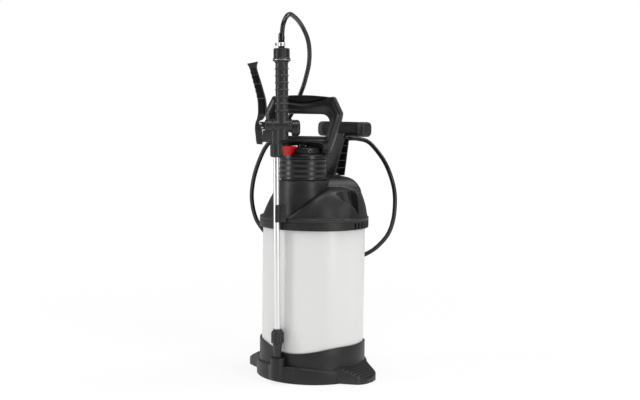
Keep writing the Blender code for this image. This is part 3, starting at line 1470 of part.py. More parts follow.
def trigger(lance):
    pivot = frame("trigger pivot", (PIVOT_X, 0.0, PIVOT_HEIGHT), (0.0, 0.0, 0.0))
    pivot.parent = lance
    outline = list(reversed(lever_outline()))
    half = LEVER_HALF_WIDTH
    lever = sheet("trigger_lever", [outline], -half, half, "XZ", "black moulding", parent=pivot)
    soften(lever, 0.0010, 1)
    slot = box(
        "lever slot",
        (-0.0056, -LEVER_SLOT_HALF, -0.0068),
        (PIVOT_REACH + 0.0068, LEVER_SLOT_HALF, 0.0062),
        parent=pivot,
    )
    cut(lever, slot)
    cut(
        lever,
        drum("lever pin hole", PIVOT_PIN_RADIUS + TOUCH, -0.02, 0.02, parent=pivot, axis="Y", sides=12),
    )
    pockets = [
        [(-0.0134, 0.1010), (-0.0189, 0.1010), (-0.0149, 0.0850), (-0.0059, 0.0850)],
        [(-0.0052, 0.0820), (-0.0142, 0.0820), (-0.0069, 0.0560), (0.0031, 0.0590)],
        [(0.0038, 0.0530), (-0.0052, 0.0530), (-0.0049, 0.0250), (0.0051, 0.0270)],
    ]
    for i, shape in enumerate(pockets):
        for side, low, high in (("near", -0.02, -0.0030), ("far", 0.0030, 0.02)):
            cut(lever, sheet(f"lever pocket {side} {i}", [shape], low, high, "XZ", parent=pivot))
    drum(
        "trigger_pin",
        PIVOT_PIN_RADIUS,
        -half - 0.0006,
        half + 0.0006,
        "bright steel",
        parent=pivot,
        axis="Y",
        sides=12,
    )
    return lever


# ---- outlet, dip tube and hose ----------------------------------------------------------------------------


def outlet():
    """The tank's outlet through the hood's shelf, with its nut, dip tube and strainer."""
    at = (OUTLET_X, OUTLET_Y, 0.0)
    shank = OUTLET_SHANK_RADIUS
    shelf = SHELF_TOP_Z + TOUCH
    nut_top = shelf + 0.0080
    foot_z = TANK_SHOULDER_Z + 0.0370
    bore = 0.0025
    turned(
        "outlet_stub",
        [(FERRULE_RADIUS, OUTLET_TOP_Z), (FERRULE_RADIUS, nut_top + 0.0060), (0.0080, nut_top + 0.0050)]
        + [(0.0080, nut_top + TOUCH), (shank - TOUCH, nut_top + TOUCH), (shank - TOUCH, foot_z)]
        + [(bore, foot_z), (bore, OUTLET_TOP_Z)],
        "black moulding",
        at=at,
        sides=20,
        ring=True,
    )
    sheet("outlet_nut", [circle(0.0115, 6), circle(shank, 16)], shelf, nut_top, "XY", "brass", at=at)
    turned(
        "dip_tube",
        ring_profile(DIP_TUBE_RADIUS, 0.0035, DIP_TUBE_BOTTOM_Z, foot_z - TOUCH),
        "grey moulding",
        at=at,
        sides=16,
        ring=True,
    )
    floor = TANK_BOTTOM_Z + TANK_WALL + TOUCH
    sleeve = DIP_TUBE_RADIUS + TOUCH
    turned(
        "dip_strainer",
        [(0.0, floor + 0.0020), (sleeve, floor + 0.0020), (sleeve, floor + STRAINER_HEIGHT), (STRAINER_RADIUS, floor + STRAINER_HEIGHT)]
        + [(STRAINER_RADIUS, floor), (0.0, floor)],
        "grey moulding",
        at=at,
        sides=16,
    )
    middle = (OUTLET_TOP_Z + nut_top + 0.006) / 2
    turned(
        "hose_clamp_tank",
        ring_profile(
            CLAMP_RADIUS, FERRULE_RADIUS + TOUCH, middle - CLAMP_HEIGHT / 2, middle + CLAMP_HEIGHT / 2
        ),
        "bright steel",
        at=at,
        sides=20,
        ring=True,
    )


def hose(lance):
    """The hose from the lance's ferrule to the outlet stub."""
    bpy.context.view_layer.update()
    up = lance.matrix_world.to_3x3() @ Vector((0.0, 0.0, 1.0))
    start = lance.matrix_world @ Vector((GRIP_OFFSET, 0.0, FERRULE_TOP + TOUCH))
    end = Vector((OUTLET_X, OUTLET_Y, OUTLET_TOP_Z + TOUCH))
    route = [Vector(p) for p in HOSE_ROUTE]
    way = smooth_way([start, start + up * 0.006, *route, end + Vector((0.0, 0.0, 0.006)), end], HOSE_STEP)
    way[1:1] = [start + up * 0.004]
    way[-1:-1] = [end + Vector((0.0, 0.0, 0.004))]
    return tube("spray_hose", way, HOSE_RADIUS, "rubber")


def main():
    foot_base()
    tank_shell()
    top_hood()
    lance_clip()
    pump_cap()
    pump_head()
    relief_knob()
    pump_works()
    carrier = frame("pump handle axis", (0.0, PUMP_Y, 0.0), (0.0, 0.0, HANDLE_TURN))
    pump_handle(carrier)
    carry_post()
    post_screws()
    carry_grip()
    lance = frame("lance axis", (LANCE_X, LANCE_Y, LANCE_FOOT_Z), Euler((0.0, LANCE_LEAN, LANCE_TURN)))
    nozzle(lance)
    lance_tube(lance)
    valve_body(lance)
    handgrip(lance)
    trigger(lance)
    outlet()
    hose(lance)


main()
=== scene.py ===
"""Compression sprayer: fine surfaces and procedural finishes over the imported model's frame."""
import logging
import math
from collections.abc import Callable
from dataclasses import dataclass, field
from enum import Enum

import bpy
import numpy as np
from mathutils import Matrix


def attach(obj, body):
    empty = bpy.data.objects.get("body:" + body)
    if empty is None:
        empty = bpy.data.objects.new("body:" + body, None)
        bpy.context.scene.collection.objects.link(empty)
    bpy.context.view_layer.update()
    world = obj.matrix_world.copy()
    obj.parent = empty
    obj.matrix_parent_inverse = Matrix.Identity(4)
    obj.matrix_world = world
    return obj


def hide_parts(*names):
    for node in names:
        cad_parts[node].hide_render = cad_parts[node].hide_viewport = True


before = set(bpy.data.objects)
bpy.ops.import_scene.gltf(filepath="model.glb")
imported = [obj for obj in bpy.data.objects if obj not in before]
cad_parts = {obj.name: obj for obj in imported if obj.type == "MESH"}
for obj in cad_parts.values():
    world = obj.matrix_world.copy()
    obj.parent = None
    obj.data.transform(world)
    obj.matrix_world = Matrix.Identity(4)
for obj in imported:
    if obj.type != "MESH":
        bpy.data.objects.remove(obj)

Array = np.ndarray
Outline = list[tuple[float, float]]
LOG = logging.getLogger("sprayer")
TAU = 2.0 * math.pi


# ---- choices -----------------------------------------------------------------


class Body(Enum):
    """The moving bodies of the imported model."""

    TANK = "tank"
    PISTON = "piston"
    HANDLE = "handle"
    RELIEF = "relief"
    TRIGGER = "trigger"
    STEM = "stem"
    NOZZLE = "nozzle"


class Along(Enum):
    """Which local axis a shape's height runs along: the order that puts it there."""

    X = (2, 0, 1)
    Y = (1, 2, 0)
    Z = (0, 1, 2)


# ---- shader maths ------------------------------------------------------------


class Signal:
    """A socket's output on which + - * / work, each adding a Math node."""

    def __init__(self, graph: "Graph", socket: bpy.types.NodeSocket) -> None:
        """Keeps the socket and the graph that it belongs to."""
        self.graph = graph
        self.socket = socket

    def _join(self, operation: str, first: object, second: object) -> "Signal":
        """One Math node on two values."""
        return self.graph.add("ShaderNodeMath", {"operation": operation}, {0: first, 1: second})

    def __add__(self, other: object) -> "Signal":
        """Sum."""
        return self._join("ADD", self, other)

    def __radd__(self, other: object) -> "Signal":
        """Sum, reflected."""
        return self._join("ADD", other, self)

    def __sub__(self, other: object) -> "Signal":
        """Difference."""
        return self._join("SUBTRACT", self, other)

    def __rsub__(self, other: object) -> "Signal":
        """Difference, reflected."""
        return self._join("SUBTRACT", other, self)

    def __mul__(self, other: object) -> "Signal":
        """Product."""
        return self._join("MULTIPLY", self, other)

    def __rmul__(self, other: object) -> "Signal":
        """Product, reflected."""
        return self._join("MULTIPLY", other, self)

    def clipped(self, low: float, high: float) -> "Signal":
        """The value held between two limits."""
        return self._join("MINIMUM", self._join("MAXIMUM", self, low), high)


class Graph:
    """The node tree of one material or world."""

    def __init__(self, owner: bpy.types.Material | bpy.types.World) -> None:
        """Starts the owner's node tree empty."""
        owner.use_nodes = True
        self.owner = owner
        self.tree = owner.node_tree
        self.tree.nodes.clear()

    def add(
        self, kind: str, settings: dict | None = None, inputs: dict | None = None, out: object = 0
    ) -> Signal:
        """Adds one node.

        Args:
            kind: the node's type.
            settings: its properties, set first.
            inputs: value or Signal for each input, by name or number.
            out: the output to return, by name or number.

        Returns:
            The chosen output as a Signal.
        """
        node = self.tree.nodes.new(kind)
        for key, value in (settings or {}).items():
            setattr(node, key, value)
        for key, value in (inputs or {}).items():
            if isinstance(value, Signal):
                self.tree.links.new(value.socket, node.inputs[key])
            else:
                node.inputs[key].default_value = value
        return Signal(self, node.outputs[out])

    def mix(self, share: Signal, first: tuple, second: tuple) -> Signal:
        """A colour between two colours."""
        made = self.add("ShaderNodeMix", {"data_type": "RGBA"}, {0: share}, out=2)
        node = made.socket.node
        for index, value in ((6, first), (7, second)):
            if isinstance(value, Signal):
                self.tree.links.new(value.socket, node.inputs[index])
            else:
                node.inputs[index].default_value = (*value, 1.0)
        return made

    def noise(self, scale: float, detail: float, stretch: tuple = (1.0, 1.0, 1.0)) -> Signal:
        """Noise on the piece's own coordinates, 0 to 1; stretch squeezes it along each axis."""
        place = self.add("ShaderNodeTexCoord", out="Object")
        mapped = self.add("ShaderNodeMapping", {}, {"Vector": place, "Scale": stretch})
        return self.add("ShaderNodeTexNoise", {}, {"Vector": mapped, "Scale": scale, "Detail": detail})

    def finish(
        self, shader: Signal, kind: str = "ShaderNodeOutputMaterial"
    ) -> bpy.types.Material | bpy.types.World:
        """Links the shader to a new output node of the given kind and returns the owner."""
        output = self.tree.nodes.new(kind)
        self.tree.links.new(shader.socket, output.inputs["Surface"])
        return self.owner


# ---- finishes ----------------------------------------------------------------


@dataclass(frozen=True)
class Finish:
    """One surface finish of the sprayer.

    The colour drifts between two tones with a broad noise; a fine noise gives the mould's grain as
    bump and breaks up the gloss; edges that stand out are lightened to a lighter edge tone, partly
    rubbed wear and partly a painted highlight on the edges.
    """

    name: str
    slot: str
    tone: tuple[float, float, float]
    drift: tuple[float, float, float]
    roughness: float
    metallic: float = 0.0
    grain: float = 1500.0
    grain_depth: float = 0.00006
    grain_strength: float = 0.25
    gloss_play: float = 0.10
    stretch: tuple[float, float, float] = (1.0, 1.0, 1.0)
    wear_and_sheen: float = 0.0
    worn_and_lit_tone: tuple[float, float, float] = (0.1, 0.1, 0.1)
    coat: float = 0.0
    specular: float = 0.5

    def material(self) -> bpy.types.Material:
        """The finish's node material, made once."""
        found = bpy.data.materials.get(self.name)
        if found:
            return found
        graph = Graph(bpy.data.materials.new(self.name))
        broad = graph.noise(18.0, 3.0)
        middle = graph.noise(160.0, 4.0, self.stretch)
        fine = graph.noise(self.grain, 2.0, self.stretch)
        colour = graph.mix((broad * 0.6 + middle * 0.4).clipped(0.0, 1.0), self.tone, self.drift)
        # Painted highlight: edges whose pointiness stands out are lightened towards the lighter edge tone,
        # partly real rubbing and partly painted edge sheen.
        if self.wear_and_sheen > 0.0:
            edge = graph.add("ShaderNodeNewGeometry", out="Pointiness")
            rubbed_and_lit = ((edge - 0.515) * 14.0 * (0.5 + middle)).clipped(0.0, 1.0) * self.wear_and_sheen
            colour = graph.mix(rubbed_and_lit, colour, self.worn_and_lit_tone)
        rough = self.roughness + (fine - 0.5) * self.gloss_play + (broad - 0.5) * self.gloss_play * 0.8
        relief = fine * 0.7 + middle * 0.3
        bump = graph.add(
            "ShaderNodeBump",
            {},
            {"Strength": self.grain_strength, "Distance": self.grain_depth, "Height": relief},
        )
        shader = graph.add(
            "ShaderNodeBsdfPrincipled",
            {},
            {
                "Base Color": colour,
                "Roughness": rough.clipped(0.04, 1.0),
                "Metallic": self.metallic,
                "Coat Weight": self.coat,
                "Coat Roughness": 0.12,
                "Specular IOR Level": self.specular,
                "Normal": bump,
            },
        )
        return graph.finish(shader)


# The edge shares and edge tones below lighten convex edges: partly rubbed wear, partly a painted edge
# highlight.
MOULDED = Finish(
    "black moulded plastic", "black_moulding", (0.0085, 0.0085, 0.0088), (0.0130, 0.0130, 0.0133), 0.42,
    grain=1700.0, grain_depth=0.00009, grain_strength=0.30, wear_and_sheen=0.55,
    worn_and_lit_tone=(0.060, 0.060, 0.061), specular=0.42,
)
GLOSSED = Finish(
    "smooth black plastic", "black_moulding", (0.0045, 0.0045, 0.0048), (0.0070, 0.0070, 0.0073), 0.31,
    grain=900.0, grain_depth=0.00005, grain_strength=0.18, wear_and_sheen=0.45,
    worn_and_lit_tone=(0.050, 0.050, 0.051), specular=0.50,
)
LANCE_BLACK = Finish(
    "lance black plastic", "black_moulding", (0.0140, 0.0140, 0.0143), (0.0200, 0.0200, 0.0203), 0.40,
    grain=1500.0, grain_depth=0.00006, grain_strength=0.22, wear_and_sheen=0.80,
    worn_and_lit_tone=(0.085, 0.085, 0.086), specular=0.50,
)
SOFT = Finish(
    "soft black grip", "soft_black", (0.0050, 0.0050, 0.0053), (0.0085, 0.0085, 0.0088), 0.50,
    grain=1300.0, grain_depth=0.00012, grain_strength=0.30, wear_and_sheen=0.2,
    worn_and_lit_tone=(0.02, 0.02, 0.02), specular=0.18,
)
ENAMEL = Finish(
    "white tank enamel", "white_enamel", (0.735, 0.735, 0.722), (0.760, 0.760, 0.750), 0.34,
    grain=420.0, grain_depth=0.00005, grain_strength=0.10, gloss_play=0.05, coat=0.25,
)
RED = Finish(
    "red moulded plastic", "red_moulding", (0.50, 0.003, 0.006), (0.58, 0.006, 0.010), 0.40,
    grain=900.0, grain_depth=0.00004, grain_strength=0.15, wear_and_sheen=0.2,
    worn_and_lit_tone=(0.66, 0.02, 0.02), specular=0.18,
)
STEEL = Finish(
    "drawn bright steel", "bright_steel", (0.82, 0.82, 0.82), (0.90, 0.90, 0.90), 0.36,
    metallic=1.0, grain=900.0, grain_depth=0.00001, grain_strength=0.10, gloss_play=0.05,
    stretch=(1.0, 1.0, 0.03),
)
ZINC = Finish(
    "bright fastener steel", "bright_steel", (0.76, 0.76, 0.76), (0.86, 0.86, 0.85), 0.33,
    metallic=1.0, grain=1200.0, grain_depth=0.00003, grain_strength=0.25,
)
BRASS = Finish(
    "turned brass", "brass", (0.60, 0.42, 0.17), (0.68, 0.49, 0.22), 0.27,
    metallic=1.0, grain=1600.0, grain_depth=0.00003, grain_strength=0.25, stretch=(0.08, 0.08, 1.0),
)
RUBBER = Finish(
    "black hose rubber", "rubber", (0.0060, 0.0060, 0.0060), (0.0090, 0.0090, 0.0090), 0.20,
    grain=500.0, grain_depth=0.00001, grain_strength=0.04, gloss_play=0.05, specular=0.60,
)
SEAL = Finish(
    "black seal rubber", "rubber", (0.014, 0.014, 0.014), (0.021, 0.021, 0.021), 0.66, grain=1500.0,
)
GREY = Finish(
    "grey pump plastic", "grey_moulding", (0.16, 0.16, 0.17), (0.20, 0.20, 0.21), 0.46, grain=1200.0,
)


# ---- surface maths -----------------------------------------------------------


def step(low: float, high: float, value: Array) -> Array:
    """Rises smoothly from 0 at low to 1 at high: 3t^2 - 2t^3.

    Args:
        low: where the rise starts.
        high: where it ends; below low, the step falls.
        value: where it is read.

    Returns:
        The share risen, 0 to 1.
    """
    t = np.clip((value - low) / (high - low), 0.0, 1.0)
    return t * t * (3.0 - 2.0 * t)


def upper(first: Array, second: Array, blend: float) -> Array:
    """The larger of two heights, their meeting line rounded over the blend."""
    share = np.clip(0.5 + 0.5 * (first - second) / blend, 0.0, 1.0)
    return second + (first - second) * share + blend * share * (1.0 - share)


def lower(first: Array, second: Array, blend: float) -> Array:
    """The smaller of two heights, their meeting line rounded over the blend."""
    return -upper(-first, -second, blend)


def curve(table: Outline, value: Array, soft: float) -> Array:
    """A table read with its bends rounded, by averaging over a span on both sides.

    Args:
        table: pairs of key and value, keys rising.
        value: the keys at which it is read.
        soft: half the span.

    Returns:
        The averaged readings.
    """
    keys, rows = np.array(table, float).T
    shifts = np.linspace(-soft, soft, 9)
    return np.mean([np.interp(value + shift, keys, rows) for shift in shifts], axis=0)


def eased(points: object, ease: float, steps: int = 5, closed: bool = True) -> Array:
    """Rounds a polyline's corners.

    Each corner p gives way to the curve (1-t)^2 a + 2t(1-t) p + t^2 b, whose arms a and b lie ease
    along the two sides, or 45% of a shorter side.

    Args:
        points: the corners, (n, 2) or (n, 3).
        ease: length of the arms.
        steps: points on each curve.
        closed: whether the last corner joins the first.

    Returns:
        The rounded line, steps points for each corner.
    """
    p = np.array(points, float)
    back, ahead = np.roll(p, 1, 0) - p, np.roll(p, -1, 0) - p
    if not closed:
        back[0], ahead[-1] = -ahead[0], -back[-1]
    long_back = np.linalg.norm(back, axis=1, keepdims=True)
    long_ahead = np.linalg.norm(ahead, axis=1, keepdims=True)
    reach = np.minimum(ease, 0.45 * np.minimum(long_back, long_ahead))
    a, b = p + back / long_back * reach, p + ahead / long_ahead * reach
    if not closed:
        a[0], b[-1] = p[0], p[-1]
    t = np.linspace(0.0, 1.0, steps)[None, :, None]
    line = (1 - t) ** 2 * a[:, None] + 2 * t * (1 - t) * p[:, None] + t**2 * b[:, None]
    return line.reshape(-1, p.shape[1])


def ring(radius: float, count: int, centre: tuple[float, float] = (0.0, 0.0)) -> Array:
    """A circle as an outline."""
    a = np.linspace(0.0, TAU, count, endpoint=False)
    return np.stack([centre[0] + radius * np.cos(a), centre[1] + radius * np.sin(a)], -1)


def drawn_in(outline: Array, inset: float) -> Array:
    """A closed outline moved inwards along its own normals.

    Args:
        outline: its points, (n, 2), in either sense.
        inset: how far it moves; negative moves it outwards.

    Returns:
        The moved points.
    """
    along = np.roll(outline, -1, 0) - np.roll(outline, 1, 0)
    normal = np.stack([along[:, 1], -along[:, 0]], -1)
    normal /= np.linalg.norm(normal, axis=1, keepdims=True) + 1e-12
    x, y = outline.T
    area = np.sum(x * np.roll(y, -1) - np.roll(x, -1) * y)
    return outline - normal * inset * np.sign(area)


def round_levels(low: float, high: float, ease: float, steps: int = 5) -> Array:
    """Heights and insets of a block whose two rims are quarter rounds.

    Args:
        low: the block's lowest height.
        high: its highest.
        ease: radius of the rims.
        steps: levels in each rim.

    Returns:
        Rows of height and inset, from low to high.
    """
    t = np.linspace(0.0, math.pi / 2, steps)
    heights, insets = low + ease * (1 - np.cos(t)), ease * (1 - np.sin(t))
    rim = np.stack([heights, insets], -1)
    mirrored = np.stack([low + high - heights, insets], -1)
    return np.concatenate([rim, mirrored[::-1]])


@dataclass(frozen=True)
class Place:
    """A local frame: an origin, a lean about its Y axis, then a turn about the upright."""

    origin: tuple[float, float, float] = (0.0, 0.0, 0.0)
    turn: float = 0.0
    lean: float = 0.0

    def world(self, points: Array) -> Array:
        """Local points in the shared frame."""
        ct, st = math.cos(self.turn), math.sin(self.turn)
        cl, sl = math.cos(self.lean), math.sin(self.lean)
        upright = np.array([[ct, -st, 0.0], [st, ct, 0.0], [0.0, 0.0, 1.0]])
        tilt = np.array([[cl, 0.0, sl], [0.0, 1.0, 0.0], [-sl, 0.0, cl]])
        return np.asarray(points, float) @ (upright @ tilt).T + np.array(self.origin)


TANK_AXIS = Place()
PUMP_AXIS = Place((0.0, -0.039, 0.0))
HANDLE_AXIS = Place((0.0, -0.039, 0.0), math.radians(25.0))
LANCE_AXIS = Place((0.0042, -0.1169, 0.0340), math.radians(37.0), math.radians(-1.1))


def surface(name: str, grid: Array, looped: bool, sharp: float = 50.0) -> bpy.types.Object:
    """Makes a closed mesh from a grid of points.

    Columns always join up; rows join up where looped, and otherwise both ends are closed by a fan
    on their middle. Faces are turned to point outwards by the sign of the enclosed volume.

    Args:
        name: the piece's name.
        grid: points, (rows, columns, 3).
        looped: whether the last row joins the first.
        sharp: angle in degrees above which an edge is shaded sharp.

    Returns:
        The new object, at the origin.
    """
    rows, columns = grid.shape[:2]
    i = np.arange(rows if looped else rows - 1)[:, None]
    j = np.arange(columns)[None, :]
    beside, below = (j + 1) % columns, (i + 1) % rows
    quads = np.stack(
        [i * columns + j, i * columns + beside, below * columns + beside, below * columns + j], -1
    ).reshape(-1, 4)
    points = grid.reshape(-1, 3)
    fans = np.zeros((0, 3), int)
    if not looped:
        count = len(points)
        points = np.concatenate([points, grid[:1].mean(1), grid[-1:].mean(1)])
        j = np.arange(columns)
        last = (rows - 1) * columns
        first_fan = np.stack([(j + 1) % columns, j, np.full(columns, count)], -1)
        last_fan = np.stack([last + j, last + (j + 1) % columns, np.full(columns, count + 1)], -1)
        fans = np.concatenate([first_fan, last_fan])
    halves = np.concatenate([quads[:, [0, 1, 2]], quads[:, [0, 2, 3]], fans])
    a, b, c = (points[halves[:, k]] - points.mean(0) for k in range(3))
    if np.sum(a * np.cross(b, c)) < 0.0:
        quads, fans = quads[:, ::-1], fans[:, ::-1]
    mesh = bpy.data.meshes.new(name)
    mesh.from_pydata(points.tolist(), [], quads.tolist() + fans.tolist())
    mesh.shade_smooth()
    mesh.set_sharp_from_angle(angle=math.radians(sharp))
    piece = bpy.data.objects.new(name, mesh)
    bpy.context.scene.collection.objects.link(piece)
    return piece


Ripple = Callable[[Array, Array], Array]


def spun(
    name: str, profile: object, place: Place = TANK_AXIS, at: tuple = (0.0, 0.0, 0.0), sides: int = 96,
    along: Along = Along.Z, looped: bool = False, ripple: Ripple | None = None,
) -> bpy.types.Object:
    """A turned piece: x = r cos a, y = r sin a, height = h for each profile point (r, h).

    Args:
        name: the piece's name.
        profile: radius and height of each point, away from the axis.
        place: local frame.
        at: where the axis starts in that frame.
        sides: steps round the axis.
        along: local axis that the height runs along.
        looped: whether the profile closes on itself, as a ring's does.
        ripple: what is added to the radius at a height and an angle.

    Returns:
        The new object.
    """
    r, h = np.array(profile, float).T[:, :, None]
    a = np.linspace(0.0, TAU, sides, endpoint=False)[None, :]
    r = r + (ripple(h, a) if ripple else 0.0 * a)
    points = np.stack([r * np.cos(a), r * np.sin(a), h + 0.0 * a], -1)[..., list(along.value)]
    return surface(name, place.world(points + np.array(at)), looped)


def column(
    name: str, outline: Array, levels: Array, place: Place = TANK_AXIS, at: tuple = (0.0, 0.0, 0.0),
    along: Along = Along.Z,
) -> bpy.types.Object:
    """A block on an outline, drawn in at each level.

    Args:
        name: the piece's name.
        outline: the plan, (n, 2).
        levels: rows of height and inset.
        place: local frame.
        at: the block's origin in that frame.
        along: local axis that the heights run along; the plan lies across it.

    Returns:
        The new object.
    """
    rows = np.stack([np.pad(drawn_in(outline, inset), ((0, 0), (0, 1)), constant_values=height)
                     for height, inset in levels])
    order = {Along.Z: [0, 1, 2], Along.Y: [0, 2, 1], Along.X: [2, 0, 1]}[along]
    return surface(name, place.world(rows[..., order] + np.array(at)), False)


def block(
    name: str, low: tuple, high: tuple, ease: float, place: Place = TANK_AXIS, corner: float | None = None
) -> bpy.types.Object:
    """A box with rounded upright corners and rims.

    Args:
        name: the piece's name.
        low: its lowest corner.
        high: its highest corner.
        ease: rounding of the rims.
        place: local frame.
        corner: rounding of the upright corners, or the rims' where none is given.

    Returns:
        The new object.
    """
    (x0, y0, z0), (x1, y1, z1) = low, high
    outline = eased([(x0, y0), (x1, y0), (x1, y1), (x0, y1)], corner or ease, 6)
    return column(name, outline, round_levels(z0, z1, ease), place)


# ---- dressing ----------------------------------------------------------------


def dress(
    piece: bpy.types.Object, finish: Finish, node: str = "", body: Body = Body.TANK
) -> bpy.types.Object:
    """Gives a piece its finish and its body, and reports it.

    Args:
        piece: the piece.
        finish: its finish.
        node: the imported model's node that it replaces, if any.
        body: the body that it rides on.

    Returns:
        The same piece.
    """
    piece.data.materials.clear()
    piece.data.materials.append(finish.material())
    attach(piece, body.value)
    if node:
        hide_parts(node)
    LOG.info("%s: %d faces on %s", piece.name, len(piece.data.polygons), body.value)
    return piece


def turned(
    name: str, corners: Outline, ease: float, finish: Finish, node: str = "", place: Place = LANCE_AXIS,
    at: tuple = (0.0, 0.0, 0.0), body: Body = Body.TANK, steps: int = 5, sides: int = 96,
    along: Along = Along.Z, solid: bool = False, ripple: Ripple | None = None,
) -> bpy.types.Object:
    """Rounds a profile's corners, turns it about an axis and dresses the piece.

    Args:
        name: the piece's name.
        corners: radius and height of each corner of the profile.
        ease: how far from a corner its rounding starts.
        finish: the piece's finish.
        node: the node that it replaces, if any.
        place: local frame.
        at: where the axis starts in that frame.
        body: the body that it rides on.
        steps: points on each rounded corner.
        sides: steps round the axis.
        along: local axis that the height runs along.
        solid: whether the profile ends at the axis; otherwise it closes on itself.
        ripple: what is added to the radius at a height and an angle.

    Returns:
        The dressed piece.
    """
    profile = eased(corners, ease, steps, not solid)
    piece = spun(name, profile, place, at, sides, along, not solid, ripple)
    return dress(piece, finish, node, body)


def keep(node: str, finish: Finish) -> None:
    """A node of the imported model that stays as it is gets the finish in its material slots."""
    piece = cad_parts[node]
    if not piece.material_slots:
        piece.data.materials.append(finish.material())
    for place in piece.material_slots:
        place.material = finish.material()


# ---- camera, light and floor -------------------------------------------------


WHITE = (1.0, 1.0, 1.0, 1.0)


def standing(side: Array, top: Array, back: Array, spot: Array) -> Matrix:
    """The matrix of an object from the directions of its three axes and its place."""
    rows = np.stack([side, top, back, spot], -1).tolist()
    return Matrix([*rows, [0.0, 0.0, 0.0, 1.0]])


@dataclass
class Studio:
    """Camera at the standing viewer's place, five soft lamps, a pale floor and a white surround."""

    azimuth: float = math.radians(37.0)
    distance: float = 2.16
    height: float = 0.5265
    pitch: float = math.radians(4.6)
    roll: float = math.radians(0.9)
    aside: float = math.radians(-0.294)
    lens: float = 60.3
    lamp_distance: float = 2.4
    lamp_target: float = 0.36
    floor_half: float = 5.0
    floor_z: float = -0.0002

    def camera(self) -> None:
        """Looks level along the azimuth, then turned aside, pitched down and rolled."""
        ca, sa = math.cos(self.azimuth), math.sin(self.azimuth)
        back, right, up = np.array([sa, -ca, 0.0]), np.array([ca, sa, 0.0]), np.array([0.0, 0.0, 1.0])
        level = -back * math.cos(-self.aside) + right * math.sin(-self.aside)
        side = np.cross(level, up) / np.linalg.norm(np.cross(level, up))
        ahead = level * math.cos(self.pitch) - up * math.sin(self.pitch)
        top = np.cross(side, ahead)
        across = side * math.cos(self.roll) + top * math.sin(self.roll)
        upright = -side * math.sin(self.roll) + top * math.cos(self.roll)
        spot = back * self.distance + up * self.height
        camera = bpy.data.objects.new("camera", bpy.data.cameras.new("camera"))
        camera.data.lens = self.lens
        camera.data.sensor_width = 36.0
        camera.matrix_world = standing(across, upright, -ahead, spot)
        bpy.context.scene.collection.objects.link(camera)
        bpy.context.scene.camera = camera

    def lamp(self, name: str, azimuth: float, elevation: float, size: tuple, power: float) -> None:
        """A soft lamp that faces the middle of the sprayer.

        Args:
            name: the lamp's name.
            azimuth: degrees about the upright, from +X.
            elevation: degrees above the level.
            size: width and height.
            power: watts.
        """
        a, e = math.radians(azimuth), math.radians(elevation)
        toward = np.array([math.cos(a) * math.cos(e), math.sin(a) * math.cos(e), math.sin(e)])
        light = bpy.data.lights.new(name, "AREA")
        light.shape = "RECTANGLE"
        light.size, light.size_y = size
        light.energy = power
        lamp = bpy.data.objects.new(name, light)
        side = np.cross([0.0, 0.0, 1.0], toward)
        side /= np.linalg.norm(side)
        top = np.cross(toward, side)
        spot = toward * self.lamp_distance + np.array([0.0, 0.0, self.lamp_target])
        lamp.matrix_world = standing(side, top, toward, spot)
        bpy.context.scene.collection.objects.link(lamp)

    def seen(self, graph: Graph, gloss: float = 1.0) -> Signal:
        """1 for rays that show the surround: camera and transmission rays, and a share of glossy."""
        path = graph.add("ShaderNodeLightPath", out="Is Camera Ray")
        glossy = Signal(graph, path.socket.node.outputs["Is Glossy Ray"])
        through = Signal(graph, path.socket.node.outputs["Is Transmission Ray"])
        return (path + glossy * gloss + through).clipped(0.0, 1.0)

    def surround(self) -> None:
        """White world: full strength where it is seen, less where it lights, least in reflections."""
        world = bpy.data.worlds.new("surround")
        bpy.context.scene.world = world
        graph = Graph(world)
        toward = graph.add("ShaderNodeTexCoord", out="Generated")
        behind = (-math.sin(self.azimuth), math.cos(self.azimuth), -0.25)
        facing = graph.add(
            "ShaderNodeVectorMath", {"operation": "DOT_PRODUCT"}, {0: toward, 1: behind}, "Value"
        )
        glossy = graph.add("ShaderNodeLightPath", out="Is Glossy Ray")
        near_side = (0.55 - facing * 1.6).clipped(0.0, 1.0)
        strength = self.seen(graph) * 0.58 + 0.42 - glossy * (near_side * 0.16 + 0.70)
        shader = graph.add("ShaderNodeBackground", {}, {"Color": WHITE, "Strength": strength})
        graph.finish(shader, "ShaderNodeOutputWorld")

    def floor(self) -> None:
        """A pale floor whose own white shows through, so it meets the surround and keeps a shadow."""
        corners = [(x * self.floor_half, y * self.floor_half, self.floor_z)
                   for x, y in ((-1, -1), (1, -1), (1, 1), (-1, 1))]
        mesh = bpy.data.meshes.new("floor")
        mesh.from_pydata(corners, [], [(0, 1, 2, 3)])
        floor = bpy.data.objects.new("floor", mesh)
        bpy.context.scene.collection.objects.link(floor)
        graph = Graph(bpy.data.materials.new("pale floor"))
        speckle = graph.noise(30.0, 3.0)
        pale = graph.mix(speckle, (0.84, 0.84, 0.84), (0.86, 0.86, 0.86))
        matt = graph.add("ShaderNodeBsdfDiffuse", {}, {"Color": pale})
        glow = graph.add("ShaderNodeEmission", {}, {"Color": WHITE, "Strength": 1.03})
        place = graph.add("ShaderNodeTexCoord", out="Object")
        away = graph.add("ShaderNodeVectorMath", {"operation": "LENGTH"}, {0: place}, "Value")
        share = ((away - 0.5) * 0.6).clipped(0.0, 1.0) * 0.20 + 0.80
        both = graph.add("ShaderNodeMixShader", {}, {0: self.seen(graph, 0.35) * share, 1: matt, 2: glow})
        floor.data.materials.append(graph.finish(both))

    def build(self) -> None:
        """Sets up the whole studio."""
        self.camera()
        for name, azimuth, elevation, size, power in (
            ("lamp left", -129.0, 14.0, (0.40, 1.9), 20.0),
            ("lamp right", -11.0, 14.0, (0.40, 1.9), 18.0),
            ("lamp top", -50.0, 70.0, (1.1, 1.1), 19.0),
            ("lamp high right", 50.0, 52.0, (1.0, 1.0), 16.0),
            ("lamp high left", 178.0, 44.0, (0.8, 0.8), 5.0),
        ):
            self.lamp(name, azimuth, elevation, size, power)
        self.surround()
        self.floor()
        bpy.context.scene.view_settings.view_transform = "Standard"


# ---- hose --------------------------------------------------------------------


